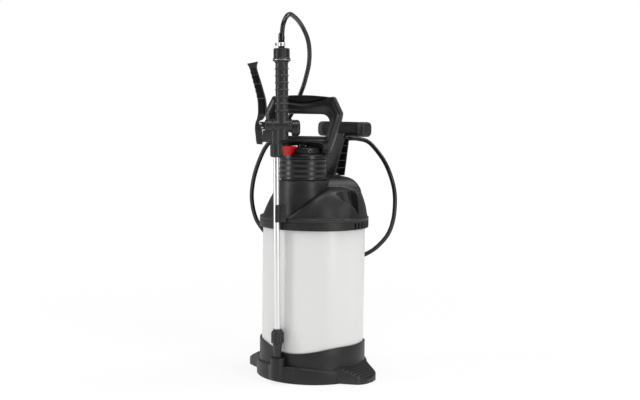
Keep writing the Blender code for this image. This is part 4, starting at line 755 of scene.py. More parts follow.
HOSE_ROUTE = [
    (0.0050, -0.1170, 0.6770), (0.0050, -0.1165, 0.6885), (0.0045, -0.1105, 0.7030),
    (0.0025, -0.0995, 0.7130), (-0.0010, -0.0860, 0.7175), (-0.0055, -0.0695, 0.7150),
    (-0.0110, -0.0505, 0.7100), (-0.0185, -0.0290, 0.7025), (-0.0230, -0.0120, 0.6920),
    (-0.0220, -0.0040, 0.6795), (-0.0220, 0.0020, 0.6660), (-0.0235, 0.0070, 0.6465),
    (-0.0265, 0.0090, 0.6245), (-0.0310, 0.0075, 0.6035), (-0.0355, 0.0055, 0.5850),
    (-0.0415, 0.0040, 0.5690), (-0.0500, 0.0025, 0.5485), (-0.0610, 0.0000, 0.5270),
    (-0.0745, -0.0035, 0.5065), (-0.0915, -0.0100, 0.4845), (-0.1130, -0.0185, 0.4575),
    (-0.1250, -0.0230, 0.4325), (-0.1340, -0.0260, 0.4070), (-0.1410, -0.0265, 0.3810),
    (-0.1455, -0.0245, 0.3555), (-0.1460, -0.0215, 0.3355), (-0.1450, -0.0155, 0.3150),
    (-0.1420, -0.0065, 0.2960), (-0.1340, 0.0180, 0.2680), (-0.1180, 0.0480, 0.2460),
    (-0.0940, 0.0800, 0.2290), (-0.0620, 0.1050, 0.2190), (-0.0260, 0.1240, 0.2165),
    (0.0080, 0.1350, 0.2220), (0.0365, 0.1425, 0.2345), (0.0565, 0.1500, 0.2505),
    (0.0770, 0.1555, 0.2760), (0.0885, 0.1565, 0.3060), (0.0920, 0.1570, 0.3390),
    (0.0895, 0.1575, 0.3690), (0.0805, 0.1570, 0.3980), (0.0655, 0.1560, 0.4270),
    (0.0475, 0.1525, 0.4505), (0.0295, 0.1450, 0.4695), (0.0115, 0.1340, 0.4750),
    (-0.0015, 0.1230, 0.4755), (-0.0200, 0.1160, 0.4730), (-0.0360, 0.1040, 0.4680),
    (-0.0465, 0.0870, 0.4610), (-0.0500, 0.0700, 0.4525), (-0.0490, 0.0570, 0.4430),
]


@dataclass
class Hose:
    """The hose from the lance's grip, over the handle and round the tank, to the outlet."""

    radius: float = 0.0045
    ferrule_top: float = 0.6303
    grip_offset: float = 0.0115
    outlet: tuple[float, float, float] = (-0.048, 0.050, 0.4323)
    sides: int = 28
    spacing: float = 0.0015
    straight: float = 0.006
    smoothing: int = 9
    per_span: int = 24

    def way(self) -> Array:
        """Evenly spaced points on a smooth curve through the route.

        Between route points p1 and p2 with neighbours p0 and p3, the point at t is
        (2 p1 + (p2-p0) t + (2p0-5p1+4p2-p3) t^2 + (3p1-3p2+p3-p0) t^3) / 2.
        """
        start = LANCE_AXIS.world(
            [[self.grip_offset, 0.0, self.ferrule_top + ahead] for ahead in (0.0, self.straight)]
        )
        end = np.array(self.outlet) + np.array([[0.0, 0.0, self.straight], [0.0, 0.0, 0.0]])
        points = np.concatenate([start, np.array(HOSE_ROUTE), end])
        p = np.concatenate([2 * points[:1] - points[1:2], points, 2 * points[-1:] - points[-2:-1]])
        p0, p1, p2, p3 = p[:-3, None], p[1:-2, None], p[2:-1, None], p[3:, None]
        t = np.linspace(0.0, 1.0, self.per_span, endpoint=False)[None, :, None]
        fine = 0.5 * (2 * p1 + (p2 - p0) * t + (2 * p0 - 5 * p1 + 4 * p2 - p3) * t**2
                      + (3 * p1 - 3 * p2 + p3 - p0) * t**3)
        fine = np.concatenate([fine.reshape(-1, 3), points[-1:]])
        reach = np.concatenate([[0.0], np.cumsum(np.linalg.norm(np.diff(fine, axis=0), axis=1))])
        even = np.linspace(0.0, reach[-1], int(reach[-1] / self.spacing))
        line = np.stack([np.interp(even, reach, fine[:, k]) for k in range(3)], -1)
        soft = np.ones(self.smoothing) / self.smoothing
        inner = np.stack([np.convolve(line[:, k], soft, "valid") for k in range(3)], -1)
        kept = self.smoothing // 2
        return np.concatenate([line[:kept], inner, line[-kept:]])

    def build(self) -> None:
        """Carries a circle along the way, its frame set square to one fixed direction at each point."""
        way = self.way()
        ahead = np.gradient(way, axis=0)
        ahead /= np.linalg.norm(ahead, axis=1, keepdims=True)
        side = np.cross(ahead, [0.6, -0.8, 0.05])
        side /= np.linalg.norm(side, axis=1, keepdims=True)
        other = np.cross(ahead, side)
        a = np.linspace(0.0, TAU, self.sides, endpoint=False)[None, :, None]
        grid = way[:, None] + self.radius * (np.cos(a) * side[:, None] + np.sin(a) * other[:, None])
        piece = dress(surface("hose", grid, False), RUBBER, "spray_hose")


# ---- tank and foot ring ------------------------------------------------------


@dataclass
class Tank:
    """White tank with its domed top, rounded foot, neck pipe and a faint weld up the back."""

    radius: float = 0.103
    bottom: float = 0.0145
    shoulder: float = 0.296
    dome: float = 0.044
    knuckle: float = 0.014
    neck: float = 0.0405
    neck_wall: float = 0.002
    neck_low: float = 0.325
    neck_top: float = 0.4285

    def build(self) -> None:
        """Dome z = shoulder + dome cos(a)^0.72 at r = R sin(a); a rounded knuckle joins the bottom."""
        a = np.radians(np.concatenate([np.linspace(2.0, 88.0, 40), [90.0]]))
        top = np.stack([self.radius * np.sin(a), self.shoulder + self.dome * np.cos(a) ** 0.72], -1)
        side = [(self.radius, z) for z in np.linspace(self.shoulder, self.bottom + self.knuckle, 12)[1:]]
        b = np.radians(np.linspace(0.0, -90.0, 9))
        foot = np.stack([self.radius - self.knuckle * (1 - np.cos(b)),
                         self.bottom + self.knuckle * (1 + np.sin(b))], -1)
        profile = np.concatenate([top, side, foot, [(0.004, self.bottom)]])

        def weld(height: Array, angle: Array) -> Array:
            """A low ridge up the back, fading at the dome."""
            across = np.abs((angle - math.pi / 2 + math.pi) % TAU - math.pi) * self.radius
            return 0.00035 * np.exp(-((across / 0.0016) ** 2)) * step(0.020, 0.032, height)

        dress(spun("tank", profile, sides=288, ripple=weld), ENAMEL, "tank_shell")
        bore, low, high = self.neck - self.neck_wall, self.neck_low, self.neck_top
        pipe = [(self.neck, low), (self.neck, high), (bore, high), (bore, low)]
        turned("tank_neck", pipe, 0.0006, ENAMEL, place=PUMP_AXIS)


@dataclass
class FootRing:
    """Foot ring with its waved rim, the ledge of the skirt, two treads and the nozzle's pod."""

    bore: float = 0.1033
    wall: float = 0.1070
    skirt: float = 0.1125
    rim_dip: float = 0.0585
    rim_right: float = 0.0715
    rim_left: float = 0.0735
    dip_azimuth: float = -78.0
    reach: float = 0.1430
    tread_top: float = 0.0305
    tread_slope: float = 0.0175 / 0.041
    tread_ease: float = 0.0024
    rib_pitch: float = 0.0067
    rib_height: float = 0.0018
    half: Outline = field(default_factory=lambda: [
        (0.088, 0.0560), (0.102, 0.0485), (0.113, 0.0430), (0.1220, 0.0388), (0.1300, 0.0350),
        (0.1355, 0.0318), (0.1390, 0.0270), (0.1412, 0.0215), (0.1424, 0.0150), (0.1430, 0.0085)])

    def rim(self, azimuth: Array) -> Array:
        """Top edge: side height less a cosine dip at the front and one at the back."""
        away = (np.degrees(azimuth) - self.dip_azimuth + 180.0) % 360.0 - 180.0
        side = np.where(away > 0, self.rim_right, self.rim_left)
        span = np.where(away > 0, 62.0, 46.0)
        front = 0.5 * (1 + np.cos(math.pi * np.minimum(1.0, np.abs(away) / span)))
        rear = 0.5 * (1 + np.cos(math.pi * np.minimum(1.0, (180.0 - np.abs(away)) / 88.0)))
        return side - (side - self.rim_dip) * np.maximum(front, rear)

    def ring(self) -> bpy.types.Object:
        """A closed profile carried round, its rim and ledge heights following the azimuth."""
        a = np.linspace(0.0, TAU, 320, endpoint=False)
        rim, ledge = self.rim(a), 0.023 + 0.011 * np.sin(a) ** 2
        none = 0.0 * a
        rows = [
            (0.020, none), (0.1112, none), (0.1121, none + 0.0004), (self.skirt, none + 0.0014),
            (self.skirt, ledge * 0.5), (self.skirt, ledge - 0.0038), (self.skirt - 0.0003, ledge - 0.0022),
            (self.skirt - 0.0012, ledge - 0.0009), (self.skirt - 0.0026, ledge),
            (self.wall + 0.0016, ledge + 0.0003), (self.wall + 0.0007, ledge + 0.0003),
            (self.wall + 0.0002, ledge + 0.0009),
            (self.wall, ledge + 0.0020), (self.wall, (ledge + rim) / 2), (self.wall, rim - 0.0012),
            (self.wall - 0.0003, rim - 0.0004), (self.wall - 0.0010, rim), (self.bore + 0.0007, rim),
            (self.bore + 0.0001, rim - 0.0004), (self.bore, rim - 0.0012), (self.bore, none + 0.030),
            (self.bore - 0.003, none + 0.0142), (0.020, none + 0.0142),
        ]
        grid = np.stack([np.stack([r * np.cos(a), r * np.sin(a), z], -1) for r, z in rows])
        return surface("foot_ring", grid, True)

    def tread(self, sign: int) -> bpy.types.Object:
        """A flared plate: sections across it, its top sloping out, with ribs that fade sideways."""
        x = np.concatenate([np.linspace(0.090, 0.1335, 150), np.linspace(0.1338, self.reach, 26)])
        half = curve(self.half, x, 0.0012)
        longer, higher = (1.0, 1.0) if sign > 0 else (1.030, 1.08)
        top = self.tread_top - (np.maximum(x, 0.100) - 0.102) * self.tread_slope
        top = top - 0.0030 * step(0.1405, 0.1432, x)
        v = np.concatenate([np.linspace(-1.0, 1.0, 61), np.linspace(1.0, -1.0, 13)])
        upper_side = np.arange(len(v)) < 61
        y = half[:, None] * v[None, :]
        near = np.minimum(1.0, (1.0 - np.abs(v[None, :])) * half[:, None] / self.tread_ease)
        rounded = self.tread_ease * (1.0 - np.sqrt(np.maximum(0.0, 1.0 - (1.0 - near) ** 2)))
        place = (self.reach - 0.0080 - x[:, None]) / self.rib_pitch
        rib = np.cos(TAU * place) * 0.5 + 0.5
        rib = step(0.50, 0.74, rib) * ((place > -0.5) & (place < 4.5))
        reach = 0.044 * (0.56 + 0.10 * np.clip(place, 0.0, 4.0)) / 0.80
        fade = 1.0 - step(0.76, 0.84, np.abs(y) / reach)
        high = top[:, None] - rounded + self.rib_height * rib * fade
        low = 0.0009 * (1.0 - np.minimum(1.0, near * 2.0)) ** 2
        z = np.where(upper_side[None, :], high, low)
        grid = np.stack([sign * longer * x[:, None] + 0.0 * y, y, z * higher], -1)
        return surface(f"foot_tread_{'right' if sign > 0 else 'left'}", grid, False, 40.0)

    def pod(self) -> None:
        """A turned post with the nozzle's socket in its top, and the web that ties it to the ring."""
        post = [(0.0145, 0.0095), (0.0145, 0.0505), (0.0090, 0.0505), (0.0088, 0.0338),
                (0.0010, 0.0338), (0.0010, 0.0095)]
        turned("nozzle_pod", post, 0.0012, MOULDED, place=Place((*LANCE_AXIS.origin[:2], 0.0)), sides=72)
        plan = [(-0.0085, -0.1225), (-0.0270, -0.1090), (-0.0260, -0.1030), (0.0360, -0.1030),
                (0.0370, -0.1062), (0.0172, -0.1225)]
        levels = round_levels(0.0040, 0.0338, 0.0030, 7)
        dress(column("pod_web", eased(plan, 0.0060, 8), levels), MOULDED)

    def build(self) -> None:
        """Makes and dresses the foot ring's pieces."""
        dress(self.ring(), MOULDED, "foot_base")
        for sign in (1, -1):
            dress(self.tread(sign), MOULDED)
        self.pod()


# ---- hood --------------------------------------------------------------------


@dataclass
class Hood:
    """The hood as one height over its plan: petal front, steep rear, rounded shelf, side hollows."""

    radius: float = 0.110
    pump_y: float = -0.039
    neck: float = 0.0490
    neck_top: float = 0.3945
    ledge: float = 0.3213
    bottom: float = 0.3005
    tank_gap: float = 0.0015
    hollow_floor: float = 0.3262
    hollow_height: float = 0.0373
    notch_depth: float = 0.0052
    notch_count: float = 64.0
    sides: int = 440
    crease: Outline = field(default_factory=lambda: [
        (-90, 0.3222), (-82, 0.3245), (-69.5, 0.3317), (-56.3, 0.341), (-43.4, 0.3495), (-26.5, 0.360),
        (-6, 0.369), (10, 0.3735), (30, 0.379), (60, 0.382), (90, 0.3825)])
    petal: Outline = field(default_factory=lambda: [
        (0.0, 0.88), (0.08, 0.95), (0.22, 0.985), (0.38, 0.88), (0.52, 0.68), (0.70, 0.36), (0.82, 0.10),
        (0.88, 0.0), (1.2, 0.0)])
    rear: Outline = field(default_factory=lambda: [
        (0.0, 0.3835), (0.060, 0.3805), (0.0750, 0.3757), (0.0940, 0.3706), (0.1005, 0.3540),
        (0.1052, 0.3370), (0.1066, 0.3255), (0.1074, 0.3213), (0.12, 0.3213)])
    shelf: Outline = field(default_factory=lambda: [
        (-0.0200, 0.3000), (-0.0012, 0.3300), (-0.0004, 0.3655), (0.0004, 0.3735), (0.0035, 0.3800),
        (0.0075, 0.3862), (0.0115, 0.3910), (0.0170, 0.3955), (0.0245, 0.3988), (0.0325, 0.4005),
        (0.20, 0.4005)])
    hollow_edge: Outline = field(default_factory=lambda: [
        (0.070, -0.029), (0.074, -0.0285), (0.085, -0.0276), (0.0948, -0.0228), (0.1066, -0.0075),
        (0.112, 0.0)])

    def rim_reach(self, angle: Array) -> Array:
        """From the pump's axis to the rim circle: -p sin a + sqrt(p^2 sin^2 a - p^2 + R^2)."""
        p = self.pump_y
        return -p * np.sin(angle) + np.sqrt((p * np.sin(angle)) ** 2 - p * p + self.radius**2)

    def hollow(self, x: Array, y: Array) -> Array:
        """Height to which the side hollows cut: a floor with steep walls and a bulge."""
        boss = 0.0060 * np.exp(-(((y - 0.0020) / 0.0055) ** 2))
        inner = (0.0925 + boss - np.abs(x)) / 0.0160
        keys, edges = np.array(self.hollow_edge).T
        edge = np.interp(np.abs(x), keys, edges)
        front = 1.25 * (1.0 - (y - edge) / 0.0105)
        rear = 1.26 * (y - 0.0035) / 0.0165
        rise = np.maximum(np.maximum(np.maximum(inner, front), rear), 0.0)
        cut = self.hollow_floor + self.hollow_height * rise
        closed = step(1.20, 1.32, rise) + step(0.0190, 0.0215, y)
        return cut + 0.08 * np.clip(closed, 0.0, 1.0)

    def height(self, x: Array, y: Array, share: Array, angle: Array) -> Array:
        """The outside's height over the plan."""
        mirrored = np.degrees(np.arctan2(np.sin(angle), np.abs(np.cos(angle))))
        level = (curve(self.crease, mirrored, 7.0) - self.ledge) / 0.88
        front = self.ledge + level * curve(self.petal, share, 0.045)
        behind = curve(self.rear, np.hypot(x, y), 0.0014)
        body = front + (behind - front) * step(-0.046, 0.004, y)
        side = (np.abs(x) - 0.047) * -0.9332 + (y + 0.018) * 0.3594
        inside = lower(lower(0.0952 - np.hypot(x, y), side, 0.010), y + 0.020, 0.004)
        body = upper(body, curve(self.shelf, inside, 0.0008), 0.0020)
        return np.where(np.abs(x) > 0.05, lower(body, self.hollow(x, y), 0.0030), body)

    def build(self) -> None:
        """Rows run from the neck's bore over its lip, down and out to the rim, and back beneath."""
        a = np.linspace(0.0, TAU, self.sides, endpoint=False)[None, :]
        far = self.rim_reach(a)
        share = np.linspace(0.0, 1.0, 118)[:, None] ** 0.94
        rho = self.neck + share * (far * (1 - 0.0009 / self.radius) - self.neck)
        x, y = rho * np.cos(a), self.pump_y + rho * np.sin(a)
        z = self.height(x, y, share + 0.0 * a, a + 0.0 * share)
        top = np.stack([x, y, z], -1)

        def about_pump(radius: float, height: Array) -> Array:
            """One row at a radius about the pump's axis."""
            return np.stack([radius * np.cos(a), self.pump_y + radius * np.sin(a), height + 0.0 * a], -1)

        def about_tank(radius: Array, height: float) -> Array:
            """One row on the rim's points, drawn to a radius about the tank's axis."""
            drawn = edge * (radius / self.radius)[..., None]
            return np.concatenate([drawn, np.full((*a.shape, 1), height)], -1)

        edge = np.stack([far * np.cos(a), self.pump_y + far * np.sin(a)], -1)
        foot, lip_top, neck = z[:1], self.neck_top, self.neck
        rise = lip_top - 0.0020 - foot
        lip = [about_pump(radius, height) for radius, height in (
            (neck - 0.0060, 0.3400), (neck - 0.0060, lip_top - 0.0009), (neck - 0.0054, lip_top),
            (neck - 0.0012, lip_top), (neck - 0.0004, lip_top - 0.0003), (neck, lip_top - 0.0011),
            (neck, foot + rise * 0.5), (neck, foot + rise * 0.06), (neck + 0.0002, foot + rise * 0.015),
        )]
        azimuth = np.degrees(np.arctan2(edge[..., 1], edge[..., 0]))
        mirrored = np.degrees(np.arctan2(edge[..., 1], np.abs(edge[..., 0])))
        teeth = 0.5 + 0.5 * np.cos(np.radians(azimuth) * self.notch_count)
        where = step(-7.0, -6.0, mirrored) * (1 - step(44.0, 46.0, mirrored))
        notch = self.notch_depth * step(0.35, 0.65, teeth) * where
        whole, low = self.radius + 0.0 * a, self.bottom
        rim = [about_tank(radius, height) for radius, height in (
            (whole - 0.0002, self.ledge - 0.0004), (whole, self.ledge - 0.0011), (whole, 0.3175),
            (whole - 0.0006, 0.3171), (whole - 0.0006, 0.3166), (whole - 0.0001, 0.3162),
            (whole, 0.3142), (whole - notch, 0.3138), (whole - notch, low + 0.0024),
            (whole, low + 0.0020), (whole, low + 0.0008), (whole - 0.0007, low),
            (whole - 0.0058, low), (whole - 0.0064, low + 0.0006), (whole - 0.0064, 0.3100),
        )]
        under = np.linspace(0.93, 0.02, 10)[:, None]
        rho = self.neck + under * (far - self.neck)
        xu, yu = rho * np.cos(a), self.pump_y + rho * np.sin(a)
        r = np.minimum(np.hypot(xu, yu) / Tank.radius, 0.999)
        dome = Tank.shoulder + Tank.dome * (1 - r * r) ** 0.36
        below = np.stack([xu, yu, dome + self.tank_gap], -1)
        grid = np.concatenate([*lip, top, *rim, below])
        dress(surface("hood", grid, True, 60.0), MOULDED, "top_hood")
        self.clip()

    def clip(self) -> None:
        """The lance's clip: a band carried round the tube from the left, and its block and stem."""
        low, high = 0.3165, 0.3500
        x, y, z = LANCE_AXIS.origin
        lean = ((low + high) / 2 - z) * math.tan(LANCE_AXIS.lean)
        turn = LANCE_AXIS.turn
        spot = (x + lean * math.cos(turn), y + lean * math.sin(turn), 0.0)
        place = Place(spot, turn)
        section = eased([(0.0070, low), (0.0096, low), (0.0096, high), (0.0070, high)], 0.0007)
        a = np.radians(np.linspace(104.0, -106.0, 48))[:, None]
        r, h = section[:, 0][None, :], section[:, 1][None, :]
        band = np.stack([r * np.cos(a), r * np.sin(a), h + 0.0 * a], -1)
        dress(surface("clip_hook", place.world(band), False), MOULDED, "lance_clip")
        outline = eased([(0.0068, -0.0078), (0.0182, -0.0066), (0.0182, 0.0105), (0.0050, 0.0122),
                         (0.0074, 0.0020)], 0.0016)
        dress(column("clip_block", outline, round_levels(low, high, 0.0012), place), MOULDED)
        stem = eased([(-0.0010, -0.1130), (0.0130, -0.1160), (0.0130, -0.1088), (-0.0010, -0.1098)], 0.0008)
        dress(column("clip_stem", stem, round_levels(low + 0.0005, high - 0.0005, 0.0008)), MOULDED)


# ---- pump --------------------------------------------------------------------


@dataclass
class PumpTop:
    """Screw cap with soft rings, the head with its slotted upper tier, and the red relief knob."""

    cap_radius: float = 0.0470
    bore: float = 0.0408
    cap_low: float = 0.3968
    cap_high: float = 0.4375
    flange: float = 0.0488
    flange_top: float = 0.4485
    tier: float = 0.0365
    tier_top: float = 0.4595
    slot_depth: float = 0.0026
    slot_low: float = 0.45125
    slot_high: float = 0.45505

    def cap(self) -> bpy.types.Object:
        """Wall r = R + 0.32 mm cos(wave), with four waves from top to bottom."""
        z = np.linspace(self.cap_high - 0.0012, self.cap_low + 0.0012, 70)
        t = (z - self.cap_low) / (self.cap_high - self.cap_low)
        wall = np.stack([self.cap_radius - 0.0002 + 0.00032 * np.cos(TAU * 4.0 * t), z], -1)
        low, high, radius = self.cap_low, self.cap_high, self.cap_radius
        over = [(self.bore, low), (self.bore, high), (radius - 0.0014, high), (radius - 0.0005, high - 0.0004)]
        under = [(radius - 0.0005, low + 0.0003), (radius - 0.0014, low)]
        profile = np.concatenate([over, wall, under])
        return spun("pump_cap_body", profile, PUMP_AXIS, sides=180, looped=True)

    def head(self) -> None:
        """Turned flange and tier; slots are sunk in the tier's wall at five places."""
        tier, flange, high, cap = self.tier, self.flange, self.tier_top, self.cap_high
        corners = [
            (0.0067, 0.4320), (0.0067, high + 0.0002), (0.0120, high), (tier - 0.0012, high),
            (tier, high - 0.0012), (tier, 0.4552), (tier, 0.4549), (tier, 0.4514), (tier, 0.4511),
            (tier, self.flange_top + 0.0012), (flange - 0.0045, self.flange_top - 0.0004),
            (flange - 0.0008, self.flange_top - 0.0030), (flange, cap + 0.0040), (flange, cap + 0.0006),
            (flange - 0.0006, cap + 0.0003), (0.0402, cap + 0.0003), (0.0402, 0.4320),
        ]

        def slots(height: Array, angle: Array) -> Array:
            """Sinks the wall where the height is in the slots' band and the angle near a slot's."""
            turn = (np.degrees(angle) + 38.0 + 30.0) % 60.0 - 30.0
            near = 1.0 - step(8.2, 9.2, np.abs(turn))
            front = (np.degrees(angle) > 250.0) & (np.degrees(angle) < 274.0)
            band = (height > self.slot_low) & (height < self.slot_high)
            return -self.slot_depth * near * band * ~front

        turned("pump_head_body", corners, 0.0009, GLOSSED, "pump_head", PUMP_AXIS,
               steps=4, sides=288, ripple=slots)

    def knob(self) -> bpy.types.Object:
        """A wedge on the head's front edge, wider and overhanging at its top."""
        outline = eased(
            [(-0.0112, 0.4424), (0.0046, 0.4420), (0.0048, 0.4500), (0.0076, 0.4562), (0.0132, 0.4602),
             (0.0136, 0.4630), (-0.0150, 0.4630), (-0.0162, 0.4590), (-0.0142, 0.4500)],
            0.0011, 6,
        )
        levels = round_levels(-0.0054, 0.0054, 0.0014)
        return column("relief_pull_knob", outline, levels, at=(0.0, -0.0815, 0.0), along=Along.Y)

    def build(self) -> None:
        """Makes and dresses the pump's outside and its inner works."""
        dress(self.cap(), GLOSSED, "pump_cap")
        low, high = self.cap_low - 0.0022, self.cap_low
        seal = [(self.bore, low), (self.bore + 0.0016, low), (self.bore + 0.0016, high), (self.bore, high)]
        turned("cap_seal_ring", seal, 0.0004, SEAL, place=PUMP_AXIS)
        self.head()
        dress(self.knob(), RED, "relief_knob", Body.RELIEF)
        wiper = [(0.0066, 0.4594), (0.0110, 0.4594), (0.0104, 0.4597), (0.0066, 0.4597)]
        turned("rod_wiper", wiper, 0.0001, SEAL, place=PUMP_AXIS, sides=48)
        rod = [(0.0006, 0.1193), (0.0060, 0.1193), (0.0060, 0.4738), (0.0006, 0.4738)]
        turned("pump_rod_shaft", rod, 0.0006, STEEL, "pump_rod", PUMP_AXIS,
               body=Body.HANDLE, steps=4, sides=64, solid=True)
        for node, finish in (
            ("head_gasket", SEAL), ("pump_barrel", GREY), ("foot_valve", SEAL), ("pump_piston", GREY),
            ("piston_cup", SEAL), ("rod_nut", ZINC), ("dip_tube", GREY), ("dip_strainer", GREY),
        ):
            keep(node, finish)


@dataclass
class PumpHandle:
    """The D handle: a hoop between its outer edge and the hand opening, and the soft pad on top."""

    half_depth: float = 0.0130
    pad_half: float = 0.047
    pad_seat: float = 0.5598
    sag: float = 0.0105
    outer: Outline = field(default_factory=lambda: [
        (0.0000, 0.5493), (0.0120, 0.5500), (0.0235, 0.5519), (0.0350, 0.5551), (0.0470, 0.5598),
        (0.0560, 0.5596), (0.0602, 0.5606), (0.0632, 0.5580), (0.0772, 0.5300), (0.0780, 0.5262),
        (0.0755, 0.5140), (0.0578, 0.4600), (0.0552, 0.4530), (0.0374, 0.4530), (0.0372, 0.4600),
        (0.0320, 0.4614), (0.0220, 0.4622), (0.0130, 0.4630), (0.0000, 0.4630)])
    inner: Outline = field(default_factory=lambda: [
        (0.0000, 0.5255), (0.0100, 0.5255), (0.0190, 0.5255), (0.0280, 0.5255), (0.0360, 0.5256),
        (0.0410, 0.5251), (0.0455, 0.5234), (0.0492, 0.5205), (0.0518, 0.5165), (0.0530, 0.5120),
        (0.0532, 0.5060), (0.0484, 0.4868), (0.0476, 0.4848), (0.0462, 0.4830), (0.0435, 0.4820),
        (0.0330, 0.4820), (0.0200, 0.4820), (0.0120, 0.4820), (0.0000, 0.4820)])

    def loop(self, half: Outline, ease: float) -> Array:
        """A closed outline from its right half, corners rounded."""
        right = np.array(half, float)
        left = right[-2:0:-1] * np.array([-1.0, 1.0])
        return eased(np.concatenate([right, left]), ease, 6)

    def hoop(self) -> bpy.types.Object:
        """Section rows: round over the outer edge, crowned face, round into the opening, and back."""
        outer, inner = self.loop(self.outer, 0.0035), self.loop(self.inner, 0.0035)
        t = np.linspace(0.0, math.pi / 2, 7)
        out_ease, in_ease, depth = 0.0046, 0.0058, self.half_depth - 0.0010
        rows = []
        for c in t:
            rows.append((drawn_in(outer, out_ease * (1 - math.cos(c))),
                         depth - out_ease * (1 - math.sin(c))))
        face_out, face_in = drawn_in(outer, out_ease), drawn_in(inner, -in_ease)
        for s in (0.15, 0.3, 0.5, 0.7, 0.85):
            rows.append((face_out + (face_in - face_out) * s, depth + 0.0036 * 4 * s * (1 - s)))
        for c in t[::-1]:
            rows.append((drawn_in(inner, -in_ease * (1 - math.cos(c))),
                         depth - in_ease * (1 - math.sin(c))))
        near = [np.insert(line, 1, -y, axis=1) for line, y in rows]
        far = [np.insert(line, 1, y, axis=1) for line, y in rows]
        grid = np.stack(near[::-1] + far)
        return surface("pump_handle_hoop", HANDLE_AXIS.world(grid), True, 70.0)

    def pad(self) -> bpy.types.Object:
        """A lens between the sagging seat and a low crown, its long edges rounded."""
        count = 49
        u = np.linspace(-self.pad_half + 0.0006, self.pad_half - 0.0006, count)
        w = 1 - (u / self.pad_half) ** 2
        seat = np.stack([u, self.pad_seat - self.sag * w + 0.0002], -1)
        crown = np.stack([u, self.pad_seat + 0.0001 + 0.0026 * w], -1)[::-1]
        levels = round_levels(-self.half_depth - 0.0004, self.half_depth + 0.0004, 0.0022, 7)
        flat = np.concatenate([seat, crown])
        rows = []
        for height, inset in levels:
            line = flat.copy()
            line[:count, 1] = np.minimum(seat[:, 1] + inset * 0.25, crown[::-1, 1])
            drop = inset * np.clip(w[::-1] * 3.0, 0.0, 1.0)
            line[count:, 1] = np.maximum(crown[:, 1] - drop, line[:count, 1][::-1])
            rows.append(np.insert(line, 1, height, axis=1))
        return surface("pump_handle_pad", HANDLE_AXIS.world(np.stack(rows)), False)

    def build(self) -> None:
        """Makes and dresses the handle's pieces."""
        dress(self.hoop(), GLOSSED, "pump_handle", Body.HANDLE)
        dress(self.pad(), SOFT, "handle_pad", Body.HANDLE)
        hub = [(0.0063, 0.4600), (0.0120, 0.4600), (0.0120, 0.4700), (0.0063, 0.4700)]
        turned("handle_hub", hub, 0.0010, GLOSSED, place=HANDLE_AXIS, body=Body.HANDLE, sides=72)
        lug = block("handle_lug", (0.0125, -0.0085, 0.4599), (0.0372, 0.0085, 0.4660), 0.0015, HANDLE_AXIS)
        dress(lug, GLOSSED, body=Body.HANDLE)
        for side, sign in (("right", 1.0), ("left", -1.0)):
            low, high = sorted((sign * 0.0384, sign * 0.0545))
            foot = block(f"handle_foot_{side}", (low, -0.0100, 0.4489), (high, 0.0100, 0.4580), 0.0018,
                         HANDLE_AXIS, 0.0025)
            dress(foot, GLOSSED, body=Body.HANDLE)
        pin = [(0.0004, -0.0122), (0.0019, -0.0122), (0.0019, 0.0122), (0.0004, 0.0122)]
        turned("handle_pin_rod", pin, 0.0006, ZINC, "handle_pin", HANDLE_AXIS, (0.0, 0.0, 0.47015),
               Body.HANDLE, 4, 32, Along.Y, solid=True)


# ---- carrying post -----------------------------------------------------------


